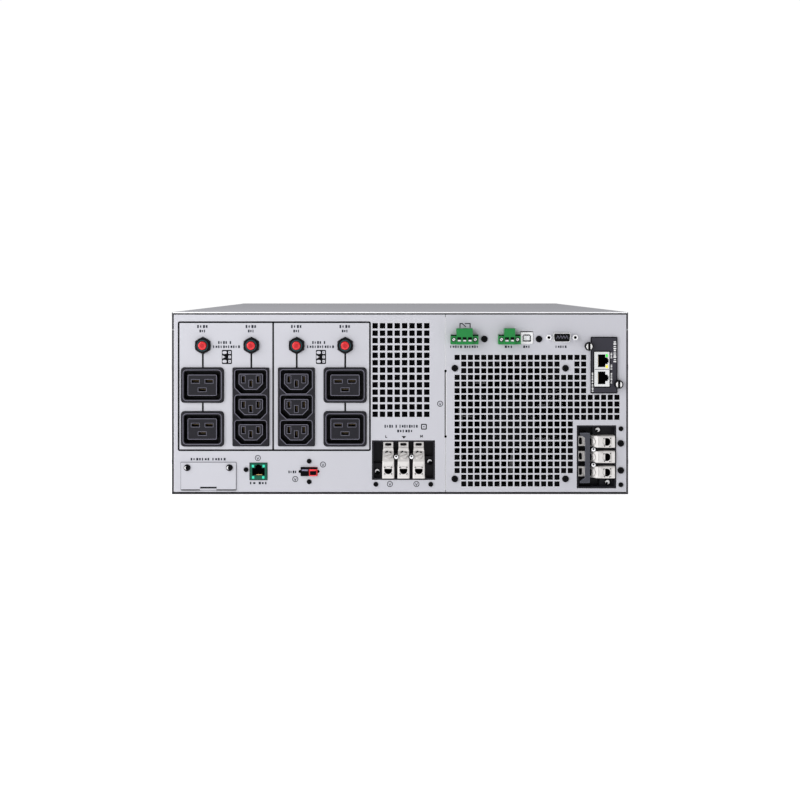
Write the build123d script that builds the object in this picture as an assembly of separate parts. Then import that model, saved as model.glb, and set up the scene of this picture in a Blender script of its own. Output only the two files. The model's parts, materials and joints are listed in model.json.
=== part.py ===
from build123d import *
import math
import os

# Rack-mount uninterruptible power supply, 4U high, lying flat as it sits in a rack.
# Millimetres. X runs across the unit, Z is up, and the sockets' side (the rear) faces -Y.
# The origin is the middle of the chassis's bottom face.

# ---------------------------------------------------------------- driving dimensions
WIDTH = 433.0
HEIGHT = 173.0
DEPTH = 680.0
SHEET = 1.2                      # thickness of all folded steel
BEZEL_DEPTH = 22.0               # moulded front pieces
PANEL_GAP = 0.6                  # round the rear panels, at the sides and the seam
EDGE_GAP = 1.1                   # above and below the rear panels
SEAM_X = 43.2                    # where the two rear panels meet
RUN = 0.25                       # clearance of what slides

SIDE = WIDTH / 2
REAR = -DEPTH / 2                # outer face of the rear panels
FRONT = DEPTH / 2
CASE_FRONT = FRONT - BEZEL_DEPTH
INNER = SIDE - SHEET             # inner face of the side walls
PANEL_IN = REAR + SHEET          # inner face of the rear panels
JOGGLE_Z = 157.0                 # above this the walls step in under the cover's lips

# Rear sockets: centres as (x, z)
C19_CENTRES = [(-187.5, 103.6), (-187.5, 62.1), (-52.1, 103.6), (-52.1, 62.1)]
C13_STRIP_CENTRES = [(-141.5, 82.9), (-98.3, 82.9)]
C13_PITCH = 24.0
BREAKER_CENTRES = [(-187.1, 141.2), (-141.1, 141.2), (-98.1, 141.2), (-52.0, 141.2)]
PORT_COVER_CENTRE = (-181.7, 17.2)
ENV_JACK_CENTRE = (-134.3, 21.7)
MODULE_PLUG_CENTRE = (-86.3, 21.6)
OUTPUT_CENTRE = (3.3, 32.4)
INPUT_CENTRE = (186.5, 35.5)
RELAY_CENTRE = (60.9, 147.1)
EPO_CENTRE = (103.4, 147.1)
USB_CENTRE = (120.3, 148.3)
SERIAL_CENTRE = (153.4, 148.9)
CARD_CENTRE = (193.5, 122.6)
FAN_CENTRE = (104.5, 67.1)
FAN_SIZE = 120.0
FAN_HOLES = 105.0                # spacing of a 120 mm fan's screws
FAN_DEPTH = 38.0
BLOCK_RECESS = (60.0, 37.7)      # opening of a terminal block, width and height
EAR_HOLES = (292.3, 86.5, 25.4, 76.2)   # y, z of the pattern's centre, then its spacings
RAIL_HOLES_Y = (-250.0, 130.0)
EAR_HOLE_R = 2.1
STRIP_Z = 139.5                  # underside of the control strip
SHELF_Z = 137.6                  # underside of the shelf above the battery drawers
BAY_BACK = 0.0                   # wall between the batteries and the electronics


# ---------------------------------------------------------------- helpers
def slab(x, y, z):
    """A box given by its (low, high) span along each axis."""
    size = [high - low for low, high in (x, y, z)]
    middle = [(high + low) / 2 for low, high in (x, y, z)]
    return Pos(*middle) * Box(*size)


def prism(profile, y_from, y_to):
    """Extrudes a profile drawn as seen from the rear (X right, Z up) from y_from to y_to."""
    plane = Plane(origin=(0, y_from, 0), x_dir=(1, 0, 0), z_dir=(0, -1, 0))
    return extrude(plane * profile, amount=y_from - y_to)


def rect(centre, width, height, radius=0.0):
    shape = RectangleRounded(width, height, radius) if radius else Rectangle(width, height)
    return Pos(*centre) * shape


def disc(centre, radius):
    return Pos(*centre) * Circle(radius)


def rod(centre, radius, y_from, y_to):
    return prism(disc(centre, radius), y_from, y_to)


def plate_with_holes(outline, holes, y_from, y_to):
    """A flat plate whose holes are all inner wires of one face."""
    face = Face(outline.faces()[0].outer_wire(), [h.faces()[0].outer_wire() for h in holes])
    plane = Plane(origin=(0, y_from, 0), x_dir=(1, 0, 0), z_dir=(0, -1, 0))
    return extrude(plane * face, amount=y_from - y_to)


def group(pieces):
    return Compound(children=[solid for piece in pieces for solid in piece.solids()])


def pan_screw(centre, face_y, head_r, shaft_r, length, slotted=False):
    """A pan-head screw whose head sits on the plane face_y and points to -Y."""
    head_h = head_r * 0.55
    head = rod(centre, head_r, face_y - head_h, face_y)
    head = fillet(head.edges().filter_by(GeomType.CIRCLE).sort_by(Axis.Y)[0], head_h * 0.6)
    slot_w = head_r * 0.28
    cuts = rect(centre, slot_w, head_r * (2.2 if slotted else 1.1))
    if not slotted:
        cuts = cuts + rect(centre, head_r * 1.1, slot_w)
    head = head - prism(cuts, face_y - head_h - 1, face_y - head_h * 0.4)
    return head + rod(centre, shaft_r, face_y, face_y + length)


def hexagon(centre, across_flats, turn=0.0):
    corner_r = across_flats / math.sqrt(3)
    return Pos(*centre) * Rot(0, 0, turn) * RegularPolygon(corner_r, 6)


# ---------------------------------------------------------------- what pierces the rear panels
def grille(first, pitch, hole, columns, rows, keep=lambda column, row: True):
    """Square ventilation holes, counted right and down from the first one."""
    return [
        rect((first[0] + column * pitch, first[1] - row * pitch), hole, hole)
        for row in range(rows)
        for column in range(columns)
        if keep(column, row)
    ]


LEFT_GRILLE = grille(first=(-23.6, 159.9), pitch=7.0, hole=5.3, columns=8, rows=13)


def right_grille_keeps(column, row):
    """The large grille steps round the network card, the input block and the fan's screws."""
    screw_rows, bottom_rows = row in (1, 2), row >= 18
    if column == 0 and (screw_rows or bottom_rows):
        return False
    if screw_rows and column in (16, 17):
        return False
    if bottom_rows and column > 15:
        return False
    if row >= 10:
        return column <= 17
    return column <= 19 or row >= 6


RIGHT_GRILLE = grille((54.2, 129.9), 6.32, 5.0, columns=25, rows=20, keep=right_grille_keeps)

SMALL_SCREW = dict(head_r=2.3, shaft_r=1.45, length=6.0)
LARGE_SCREW = dict(head_r=3.15, shaft_r=1.95, length=8.0)
SMALL_SCREWS_LEFT = [(-146.1, 23.4), (-86.2, 31.4), (-86.2, 11.9), (-22.9, 9.5), (29.2, 9.5)]
SMALL_SCREWS_RIGHT = [(209.6, 62.2), (209.6, 9.0)]
GROUND_SCREWS = [(80.1, 147.3), (131.9, 147.3), (209.5, 48.3), (209.5, 22.7)]
PORT_COVER_SCREWS = [(-201.8, 25.4), (-161.8, 25.4)]
FAN_SCREWS = [
    (FAN_CENTRE[0] + sx * FAN_HOLES / 2, FAN_CENTRE[1] + sz * FAN_HOLES / 2)
    for sx in (-1, 1)
    for sz in (-1, 1)
]
SEAM_SLOT_Z = (54.7, 117.0)      # a wider stretch of the seam, with a relief hole at each end
SEAM_SLOT_HALF = 0.9


def panel_outline(x_from, x_to):
    z_from, z_to = SHEET + EDGE_GAP, HEIGHT - SHEET - EDGE_GAP
    return rect(((x_from + x_to) / 2, (z_from + z_to) / 2), x_to - x_from, z_to - z_from)


def seam_notch():
    """What the seam's wider stretch takes from either panel."""
    low, high = SEAM_SLOT_Z
    notch = rect((SEAM_X, (low + high) / 2), 2 * SEAM_SLOT_HALF, high - low)
    return notch + disc((SEAM_X, low), 1.3) + disc((SEAM_X, high), 1.3)


def rear_panel_left():
    holes = [rect(c, 38.4, 31.2, 1.0) for c in C19_CENTRES]
    holes += [rect(c, 31.8, 71.8, 1.0) for c in C13_STRIP_CENTRES]
    holes += [disc(c, 5.75) for c in BREAKER_CENTRES]
    holes.append(rect((PORT_COVER_CENTRE[0], 12.6), 38.0, 15.0, 1.0))
    holes.append(rect(ENV_JACK_CENTRE, 16.4, 16.0))
    holes.append(module_plug_cutout())
    holes.append(rect(OUTPUT_CENTRE, *BLOCK_RECESS))
    holes += [disc(c, SMALL_SCREW["shaft_r"] + 0.05) for c in SMALL_SCREWS_LEFT]
    holes += [disc(c, LARGE_SCREW["shaft_r"] + 0.05) for c in PORT_COVER_SCREWS]
    holes += LEFT_GRILLE
    outline = panel_outline(-SIDE + SHEET + PANEL_GAP, SEAM_X - PANEL_GAP / 2) - seam_notch()
    plate = plate_with_holes(outline, holes, REAR, PANEL_IN)
    outer = -SIDE + SHEET + PANEL_GAP
    flange = slab((outer, outer + SHEET), (REAR, PANEL_IN + 14), (6, 150))
    return plate + flange - side_screw_holes(-1)


def rear_panel_right():
    holes = [rect(c, socket_width(poles) + 0.4, 8.6) for c, poles in SOCKETS]
    holes.append(rect((USB_CENTRE[0], USB_CENTRE[1] + 0.4), 12.2, 12.2))
    holes.append(rect(SERIAL_CENTRE, 17.4, 9.4, 2.0))
    holes += [disc((SERIAL_CENTRE[0] + side * 12.495, SERIAL_CENTRE[1]), 1.7) for side in (-1, 1)]
    holes.append(rect(CARD_CENTRE, 22.0, 50.0))
    holes.append(rect(INPUT_CENTRE, BLOCK_RECESS[1], BLOCK_RECESS[0]))
    holes += [disc(c, SMALL_SCREW["shaft_r"] + 0.05) for c in SMALL_SCREWS_RIGHT]
    holes += [disc(c, LARGE_SCREW["shaft_r"] + 0.05) for c in GROUND_SCREWS + FAN_SCREWS]
    holes += [disc(c, CARD_SCREW_SHAFT_R + 0.3) for c in CARD_SCREWS]
    holes += RIGHT_GRILLE
    outline = panel_outline(SEAM_X + PANEL_GAP / 2, SIDE - SHEET - PANEL_GAP) - seam_notch()
    plate = plate_with_holes(outline, holes, REAR, PANEL_IN)
    outer = SIDE - SHEET - PANEL_GAP
    flange = slab((outer - SHEET, outer), (REAR, PANEL_IN + 14), (6, 150))
    return plate + flange - side_screw_holes(1)


# ---------------------------------------------------------------- case
PANEL_SCREWS_YZ = [(PANEL_IN + 8, 30.0), (PANEL_IN + 8, 120.0)]
COVER_SCREWS_YZ = [(y, 165.0) for y in (-310.0, -110.0, 100.0, 300.0)]
CSK_HEAD_R = 2.8
CSK_SHAFT_R = 1.5


def cross_rod(side, y, z, radius, x_from, x_to):
    """A rod along X; x_from and x_to are distances from the middle, towards that side."""
    length = x_to - x_from
    return Pos(side * (x_from + x_to) / 2, y, z) * Rot(0, 90, 0) * Cylinder(radius, length)


def side_screw_holes(side):
    holes = [cross_rod(side, y, z, CSK_SHAFT_R + 0.05, SIDE - 5, SIDE + 1) for y, z in PANEL_SCREWS_YZ]
    return Compound(children=[s for h in holes for s in h.solids()])


def chassis_base():
    """Bottom and side walls in one piece, stepped in at the top for the cover."""
    base = slab((-SIDE, SIDE), (REAR, CASE_FRONT), (0, SHEET))
    for side in (-1, 1):
        outer, inner = side * SIDE, side * INNER
        stepped_out, stepped_in = side * (INNER - 0.2), side * (INNER - 0.2 - SHEET)
        flange_in = side * (INNER - 14)
        joggle_y = (REAR + 2.5, CASE_FRONT)
        spans = [
            ((outer, inner), (REAR, CASE_FRONT), (0, JOGGLE_Z - SHEET)),
            ((outer, stepped_in), joggle_y, (JOGGLE_Z - 2 * SHEET, JOGGLE_Z - SHEET)),
            ((stepped_out, stepped_in), joggle_y, (JOGGLE_Z - 2 * SHEET, HEIGHT - SHEET)),
            ((stepped_out, flange_in), joggle_y, (HEIGHT - 2 * SHEET, HEIGHT - SHEET)),
        ]
        for x, y, z in spans:
            base += slab(tuple(sorted(x)), y, z)
        ear_y, ear_z, ear_dy, ear_dz = EAR_HOLES
        for y in (ear_y - ear_dy / 2, ear_y + ear_dy / 2):
            for z in (ear_z - ear_dz / 2, ear_z + ear_dz / 2):
                base -= cross_rod(side, y, z, EAR_HOLE_R, INNER - 1, SIDE + 1)
        for y in RAIL_HOLES_Y:
            base -= cross_rod(side, y, ear_z, EAR_HOLE_R, INNER - 1, SIDE + 1)
        for y, z in PANEL_SCREWS_YZ + COVER_SCREWS_YZ:
            base -= cross_rod(side, y, z, CSK_SHAFT_R + 0.05, INNER - 3, SIDE + 1)
    for x, y in BOARD_STANDOFFS:
        base += Pos(x, y, (SHEET + BOARD_Z) / 2) * Cylinder(3.0, BOARD_Z - SHEET)
    return base


def top_cover():
    """Flat lid with a lip down each side, flush with the walls below it."""
    cover = slab((-SIDE, SIDE), (REAR, CASE_FRONT), (HEIGHT - SHEET, HEIGHT))
    for side in (-1, 1):
        lip_x = tuple(sorted((side * SIDE, side * INNER)))
        cover += slab(lip_x, (REAR, CASE_FRONT), (JOGGLE_Z - SHEET + 0.4, HEIGHT))
    long_edges = cover.edges().filter_by(Axis.Y).group_by(Axis.Z)[-1]
    cover = fillet(long_edges, 1.0)
    for side in (-1, 1):
        for y, z in COVER_SCREWS_YZ:
            sink = Pos(side * (SIDE - SHEET / 2), y, z) * Rot(0, side * 90, 0)
            cover -= sink * Cone(CSK_SHAFT_R + 0.05, CSK_HEAD_R + 0.05, SHEET)
    return cover


def case_screws():
    """Countersunk screws that hold the cover and the rear panels' side flanges."""
    screws = []
    for side in (-1, 1):
        for y, z in COVER_SCREWS_YZ:
            head = Pos(side * (SIDE - SHEET / 2), y, z) * Rot(0, side * 90, 0)
            head = head * Cone(CSK_SHAFT_R, CSK_HEAD_R, SHEET)
            head += cross_rod(side, y, z, CSK_SHAFT_R, SIDE - 6, SIDE - SHEET)
            drive = cross_rod(side, y, z, 1.1, SIDE - 0.7, SIDE + 1)
            screws.append(head - drive)
        for y, z in PANEL_SCREWS_YZ:
            head = cross_rod(side, y, z, 2.8, SIDE, SIDE + 1.2)
            head += cross_rod(side, y, z, CSK_SHAFT_R, SIDE - 6, SIDE)
            screws.append(head - cross_rod(side, y, z, 1.1, SIDE + 0.6, SIDE + 2))
    return group(screws)


def joint_strip():
    """Backs the seam between the rear panels, and stiffens it with a leg."""
    strip = slab((36.5, 44.2), (PANEL_IN, PANEL_IN + SHEET), (4, 168))
    return strip + slab((36.5, 37.7), (PANEL_IN, PANEL_IN + 16), (54, 168))


def battery_bay():
    """Back wall, centre divider and shelf round the two battery drawers."""
    bay = slab((-INNER + 0.3, INNER - 0.3), (BAY_BACK, BAY_BACK + SHEET), (SHEET + 0.3, 153))
    bay += slab((-SHEET / 2, SHEET / 2), (BAY_BACK, CASE_FRONT), (SHEET + 0.3, SHELF_Z + SHEET))
    bay += slab((-INNER + 0.3, INNER - 0.3), (BAY_BACK, CASE_FRONT), (SHELF_Z, SHELF_Z + SHEET))
    for side in (-1, 1):
        vent = [Pos(side * 108, BAY_BACK, 30 + row * 22) * Box(120, 6, 9) for row in range(5)]
        bay -= Compound(children=[s for v in vent for s in v.solids()])
    return bay


# ---------------------------------------------------------------- power outlets
def c19_outlets():
    """High-current outlets: a square skirt round a rectangular core with three flat slots."""
    outlets = []
    for x, z in C19_CENTRES:
        flange = prism(rect((x, z), 40.1, 32.8, 3.0), REAR - 2.6, REAR)
        flange = fillet(flange.faces().sort_by(Axis.Y)[0].edges(), 0.7)
        body = flange + prism(rect((x, z), 37.8, 30.6, 1.0), REAR, REAR + 25)
        body -= prism(rect((x, z), 34.5, 27.0, 2.6), REAR - 3, REAR + 14.5)
        core = prism(rect((x, z), 27.9, 20.3, 1.4), REAR - 1.9, REAR + 14.5)
        core = fillet(core.faces().sort_by(Axis.Y)[0].edges(), 0.5)
        body += core
        for dx, dz in C19_SLOTS:
            body -= prism(rect((x + dx, z + dz), 7.2, 3.0), REAR - 3, REAR + 15)
            body -= prism(rect((x + dx, z + dz), 6.6, 1.1), REAR + 14, REAR + 26)
        outlets.append(body)
    return group(outlets)


C19_SLOTS = [(-6.5, 3.7), (6.5, 3.7), (0.0, -4.3)]
C13_SLOTS = [(-7.0, 2.2), (7.0, 2.2), (0.0, -1.8)]


def cut_corner_outline(centre, width, height, cut, radius):
    """A rectangle with its two lower corners cut off at 45 degrees and its upper ones rounded."""
    x, z, w, h = centre[0], centre[1], width / 2, height / 2
    corners = [(-w, h), (w, h), (w, -h + cut), (w - cut, -h), (-w + cut, -h), (-w, -h + cut)]
    face = make_face(Polyline(*[(x + px, z + pz) for px, pz in corners], close=True))
    upper = face.vertices().group_by(Axis.Y)[-1]
    return fillet(upper, radius)


def c13_strips():
    """Two mouldings with three outlets each."""
    strips = []
    for x, z in C13_STRIP_CENTRES:
        flange = prism(rect((x, z), 34.2, 73.9, 1.2), REAR - 2.4, REAR)
        flange = fillet(flange.faces().sort_by(Axis.Y)[0].edges(), 0.6)
        body = flange + prism(rect((x, z), 31.4, 71.4, 0.8), REAR, REAR + 24)
        for row in (-1, 0, 1):
            centre = (x, z + row * C13_PITCH)
            body -= prism(cut_corner_outline(centre, 29.7, 22.4, 5.6, 2.4), REAR - 3, REAR + 14.5)
            core = prism(cut_corner_outline(centre, 23.2, 15.4, 5.6, 1.4), REAR - 1.7, REAR + 14.5)
            body += fillet(core.faces().sort_by(Axis.Y)[0].edges(), 0.4)
            for dx, dz in C13_SLOTS:
                slot = (centre[0] + dx, centre[1] + dz)
                body -= prism(rect(slot, 3.0, 6.2), REAR - 3, REAR + 15)
                body -= prism(rect(slot, 1.1, 5.0), REAR + 14, REAR + 25)
        strips.append(body)
    return group(strips)


def outlet_contacts():
    """Brass blades, one behind each slot, with their tails out of the back."""
    blades = []
    for x, z in C19_CENTRES:
        for dx, dz in C19_SLOTS:
            blades.append(prism(rect((x + dx, z + dz), 6.4, 0.9), REAR + 5, REAR + 33))
    for x, z in C13_STRIP_CENTRES:
        for row in (-1, 0, 1):
            for dx, dz in C13_SLOTS:
                place = (x + dx, z + row * C13_PITCH + dz)
                blades.append(prism(rect(place, 0.9, 4.8), REAR + 5, REAR + 32))
    return group(blades)


# ---------------------------------------------------------------- resettable breakers
BUSH_R = 5.6
BUTTON_R = 3.95


def breaker_bodies():
    bodies = []
    for centre in BREAKER_CENTRES:
        body = prism(rect((centre[0], centre[1] - 1), 15, 32, 1.0), PANEL_IN, PANEL_IN + 34)
        body += rod(centre, BUSH_R, REAR - 4.6, PANEL_IN)
        body -= rod(centre, BUTTON_R + RUN, REAR - 5, REAR + 13)
        body -= rod(centre, BUTTON_R + 0.75, REAR - 5, REAR - 3.9)
        terminals = rect((centre[0], centre[1] + 9), 6.3, 0.8) + rect((centre[0], centre[1] - 11), 6.3, 0.8)
        bodies.append(body + prism(terminals, PANEL_IN + 34, PANEL_IN + 44))
    return group(bodies)


def breaker_nuts():
    nuts = []
    for centre in BREAKER_CENTRES:
        nut = prism(hexagon(centre, 14.6, turn=30), REAR - 3.2, REAR)
        crown = Plane(origin=(centre[0], REAR - 3.2, centre[1]), z_dir=(0, 1, 0))
        nut = nut & (crown * Pos(0, 0, 1.6) * Cone(6.9, 8.4, 3.2))
        nuts.append(nut - rod(centre, BUSH_R + 0.04, REAR - 4, REAR + 1))
    return group(nuts)


def breaker_button(centre):
    """Domed push button; it pops out when the breaker trips."""
    button = rod(centre, BUTTON_R, REAR - 6.6, REAR + 8)
    button = fillet(button.faces().sort_by(Axis.Y)[0].edges(), 1.1)
    return button - rod(centre, 1.7, REAR - 7, REAR - 6.2)


# ---------------------------------------------------------------- low-voltage ports on the left
def battery_port_cover():
    """Blanking plate over the external battery socket, hooked at the bottom, screwed on top."""
    plate = prism(rect(PORT_COVER_CENTRE, 52.1, 26.0, 0.6), REAR - SHEET, REAR)
    plate -= prism(rect((PORT_COVER_CENTRE[0], 6.4), 15.7, 1.7), REAR - 2, REAR + 1)
    holes = [rod(c, LARGE_SCREW["shaft_r"] + 0.05, REAR - 2, REAR + 1) for c in PORT_COVER_SCREWS]
    return plate - group(holes)


def battery_port_connector():
    """Two-pole battery socket behind the blanking plate."""
    centre = (PORT_COVER_CENTRE[0], 12.6)
    body = prism(rect(centre, 37.2, 14.2, 1.0), REAR + 0.3, REAR + 36)
    for side in (-1, 1):
        pole = (centre[0] + side * 9.0, centre[1])
        body -= prism(rect(pole, 12.0, 9.0, 0.8), REAR, REAR + 22)
        body += prism(rect(pole, 7.0, 2.4), REAR + 8, REAR + 46)
    return body


def env_jack():
    """Modular jack for the battery-module and sensor link, clip side up."""
    x, z = ENV_JACK_CENTRE
    body = prism(rect((x, z), 16.0, 15.6), REAR - 0.8, REAR + 18)
    body -= prism(rect((x, z - 0.2), 11.9, 7.0), REAR - 2, REAR + 12)
    body -= prism(rect((x, z + 4.3), 6.2, 2.8), REAR - 2, REAR + 12)
    return body - prism(rect((x, z + 6.0), 3.4, 1.4), REAR - 2, REAR + 12)


def module_plug_cutout():
    outline = rect(MODULE_PLUG_CENTRE, 16.2, 8.7)
    for side in (-1, 1):
        outline += disc((MODULE_PLUG_CENTRE[0] + side * 8.6, MODULE_PLUG_CENTRE[1]), 1.5)
    return outline


def module_plug_half(side):
    """One pole of the two-pole power connector: housing with a hood and a spring contact."""
    x, z = MODULE_PLUG_CENTRE[0] + side * 3.97, MODULE_PLUG_CENTRE[1]
    body = prism(rect((x, z), 7.9, 8.4, 0.5), REAR - 1.6, REAR + 24)
    body -= prism(rect((x, z - 1.0), 6.0, 4.4), REAR - 3, REAR + 12)
    body -= prism(rect((x, z + 2.6), 6.0, 1.0), REAR - 3, REAR + 9)
    return body + prism(rect((x, z - 2.3), 4.6, 1.2), REAR + 0.6, REAR + 12)


# ---------------------------------------------------------------- power terminal blocks
LUG_PITCH = 14.5
LUG_BASE_Z = -17.1               # the lugs' lower end, from the recess's centre
LUG_SLOPE_DEG = 38.0
WIRE_HOLE_R = 3.75
WIRE_HOLE_DEPTH = 11.0
WIRE_HOLE_Z = LUG_BASE_Z + 7.8
RECESS_DEPTH = 30.0


def at_output(shape):
    return Pos(OUTPUT_CENTRE[0], REAR, OUTPUT_CENTRE[1]) * shape


def at_input(shape):
    """The same block turned a quarter, its wire entries to the right."""
    return Pos(INPUT_CENTRE[0], REAR, INPUT_CENTRE[1]) * Rot(0, -90, 0) * shape


def terminal_block():
    """Black moulded tray with a raised base, made about its recess's centre at the panel's face."""
    width, height = BLOCK_RECESS
    tray = prism(rect((0, 0), width - 0.4, height - 0.4), 0.1, RECESS_DEPTH)
    tray -= prism(rect((0, 0), width - 3.2, height - 3.2), -1, RECESS_DEPTH - 2)
    base_low, base_high = -height / 2 + 1.6, height / 2 - 1.6
    tray += slab((-width / 2 + 1.6, width / 2 - 1.6), (16, RECESS_DEPTH - 1), (base_low, base_high))
    for side, top in ((-1, -4.0), (1, 2.5)):
        pad_x = tuple(sorted((side * 20.6, side * (width / 2 - 1.6))))
        tray += slab(pad_x, (9.5, 17), (base_low, top))
    for side in (-1, 1):
        wall_x = side * LUG_PITCH / 2
        tray += slab((wall_x - 1.0, wall_x + 1.0), (6, 17), (base_low, 0.5))
    for x, y, z in BLOCK_SCREWS:
        tray -= rod((x, z), 1.55, y - 1, RECESS_DEPTH - 3)
    return tray


BLOCK_SCREWS = [(-25.0, 9.5, -11.6), (25.0, 9.5, -2.3)]
LINK_SCREWS = [(-LUG_PITCH / 2, 16.0, 3.4), (LUG_PITCH / 2, 16.0, 3.4)]


def lug_side_outline():
    """Side view of a lug as (y, z) corners: flat front, slope for the clamp screw, stepped head."""
    z0 = LUG_BASE_Z
    return [(-3, z0), (-3, z0 + 16), (4.2, z0 + 25.2), (4.2, z0 + 28), (6.2, z0 + 28),
            (6.2, z0 + 34.2), (15.9, z0 + 34.2), (15.9, z0)]


def lug(x):
    plane = Plane(origin=(x - 5.8, 0, 0), x_dir=(0, 1, 0), z_dir=(1, 0, 0))
    side_view = make_face(Polyline(*lug_side_outline(), close=True))
    body = extrude(plane * side_view, amount=11.6)
    body = fillet(body.edges().filter_by(Axis.Z).group_by(Axis.Y)[0], 1.6)
    z0 = LUG_BASE_Z
    for side in (-1, 1):
        trim_x = tuple(sorted((x + side * 4.7, x + side * 6.0)))
        body -= slab(trim_x, (-4, 17), (z0 + 26.4, z0 + 36))
        wedge = [(x + side * 5.7, z0 + 9), (x + side * 5.1, z0 + 26.4), (x + side * 6, z0 + 26.4), (x + side * 6, z0 + 9)]
        body -= prism(make_face(Polyline(*wedge, close=True)), -4, 17)
    body -= rod((x, WIRE_HOLE_Z), WIRE_HOLE_R, -4, -3 + WIRE_HOLE_DEPTH)
    body -= prism(rect((x, z0 + 31.2), 6.4, 2.4, 1.1), 5, 12)
    for sx in (-1, 1):
        for sz in (-1, 1):
            pit = (x + sx * 4.0, WIRE_HOLE_Z + sz * 4.3)
            body -= prism(Pos(*pit) * Rot(0, 0, 45) * Rectangle(0.9, 1.7), -4, -2.2) \
                if sx * sz > 0 else prism(Pos(*pit) * Rot(0, 0, -45) * Rectangle(0.9, 1.7), -4, -2.2)
    return body - clamp_screw_shape(x, 3.45)


def clamp_screw_shape(x, radius):
    """A short cylinder square to the lug's slope, flush with it."""
    slope_mid = (0.8, LUG_BASE_Z + 20.8)
    angle = 90 - LUG_SLOPE_DEG
    place = Pos(x, *slope_mid) * Rot(angle, 0, 0)
    return place * Pos(0, 0, -0.8) * Cylinder(radius, 4.4)


def clamp_screw(x):
    screw = clamp_screw_shape(x, 3.4)
    slope_mid = (0.8, LUG_BASE_Z + 20.8)
    place = Pos(x, *slope_mid) * Rot(90 - LUG_SLOPE_DEG, 0, 0)
    return screw - place * Pos(0, 0, 1.2) * Rot(0, 0, 20) * Box(8, 1.3, 1.6)


def lug_set():
    return [lug(k * LUG_PITCH) for k in (-1, 0, 1)]


def terminal_lugs():
    lugs = [at_output(piece) for piece in lug_set()] + [at_input(piece) for piece in lug_set()]
    return group(lugs)


def terminal_screws():
    """Clamp screws in the lugs and the pan heads that hold the blocks down."""
    local = [clamp_screw(k * LUG_PITCH) for k in (-1, 0, 1)]
    for x, y, z in BLOCK_SCREWS:
        local.append(pan_screw((x, z), y, 2.6, 1.5, 8.0))
    for x, y, z in LINK_SCREWS:
        local.append(rod((x, z), 1.5, 10.0, y) + pan_screw((x, z), 9.0, 1.9, 1.5, 2.0))
    return group([at_output(piece) for piece in local] + [at_input(piece) for piece in local])


def input_clamp_bar():
    """Dark bar across the input block; its ends flare towards the lugs' heads and stand on the tray."""
    corners = [(-23.7, 6.8), (23.7, 6.8), (23.7, 15.8), (22.3, 15.8), (18.6, 10.9), (-18.6, 10.9), (-22.3, 15.8),
               (-23.7, 15.8)]
    bar = Pos(-0.8, 0, 0) * prism(make_face(Polyline(*corners, close=True)), -2.4, 0.6)
    for side in (-1, 1):
        foot_x = tuple(sorted((side * 21.3 - 0.8, side * 23.7 - 0.8)))
        bar += slab(foot_x, (-2.4, 16), (7.9, 11.3))
    return at_input(bar)


# ---------------------------------------------------------------- signal ports on the right
POLE_PITCH = 5.08
SOCKETS = [(RELAY_CENTRE, 3), (EPO_CENTRE, 2)]


def socket_width(poles):
    return (poles + 2) * POLE_PITCH - 1.0


def header_socket(centre, poles):
    """Panel half of a pluggable terminal block; its mouth takes the plug's tongue."""
    x, z = centre
    body = prism(rect((x, z), socket_width(poles), 8.2), REAR + 0.2, REAR + 14)
    body -= prism(rect((x, z), poles * POLE_PITCH + 0.8, 7.0), REAR - 1, REAR + 11)
    for pole in range(poles):
        pin = (x + (pole - (poles - 1) / 2) * POLE_PITCH, z - 1.2)
        body += prism(rect(pin, 1.0, 1.0), REAR + 9, REAR + 12) + prism(rect(pin, 1, 1), REAR + 14, REAR + 20)
    for side in (-1, 1):
        body -= rod((x + side * (poles + 1) / 2 * POLE_PITCH, z), 1.5, REAR - 1, REAR + 10)
    return body


def header_sockets():
    return group([header_socket(centre, poles) for centre, poles in SOCKETS])


def pluggable_terminal(centre, poles):
    """Plug half: low flanges with their screws at the ends, a taller hood over the poles."""
    x, z = centre
    width = (poles + 2) * POLE_PITCH + 1.0
    hood_w = poles * POLE_PITCH
    body = prism(rect((x, z), width, 9.1, 0.4), REAR - 8.5, REAR)
    hood = slab((x - hood_w / 2, x + hood_w / 2), (REAR - 11.5, REAR - 1.5), (z - 4.55, z + 10.6))
    body += fillet(hood.edges().filter_by(Axis.X).group_by(Axis.Z)[-1], 0.8)
    body += prism(rect((x, z), hood_w, 6.6), REAR, REAR + 8)
    for pole in range(poles):
        px = x + (pole - (poles - 1) / 2) * POLE_PITCH
        body -= prism(rect((px, z + 0.2), 3.8, 4.4, 0.4), REAR - 12, REAR - 2)
        body += rod((px, z + 0.6), 1.5, REAR - 9.2, REAR - 1)
        body -= Pos(px, REAR - 6.5, z + 9) * Cylinder(1.7, 6)
    for side in (-1, 1):
        px = x + side * (poles + 1) / 2 * POLE_PITCH
        body -= rod((px, z), 2.15, REAR - 9, REAR - 6.2)
        slot = prism(rect((px, z), 0.7, 4.0), REAR - 8, REAR - 7.0)
        body += rod((px, z), 1.8, REAR - 7.8, REAR - 5) - slot
        body += rod((px, z), 1.3, REAR, REAR + 6)
    return body


def interface_board():
    """Small board that carries the plugs, the bus port and the serial port."""
    z_top = RELAY_CENTRE[1] - 5.6
    board = slab((45.5, 176), (REAR + 2.5, REAR + 66), (z_top - 1.6, z_top))
    chips = [(70, 44, 14, 14), (110, 44, 18, 10), (148, 46, 12, 12), (92, 56, 8, 5)]
    for x, dy, w, h in chips:
        board += slab((x, x + w), (REAR + dy, REAR + dy + h), (z_top, z_top + 2.2))
    return board


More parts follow.
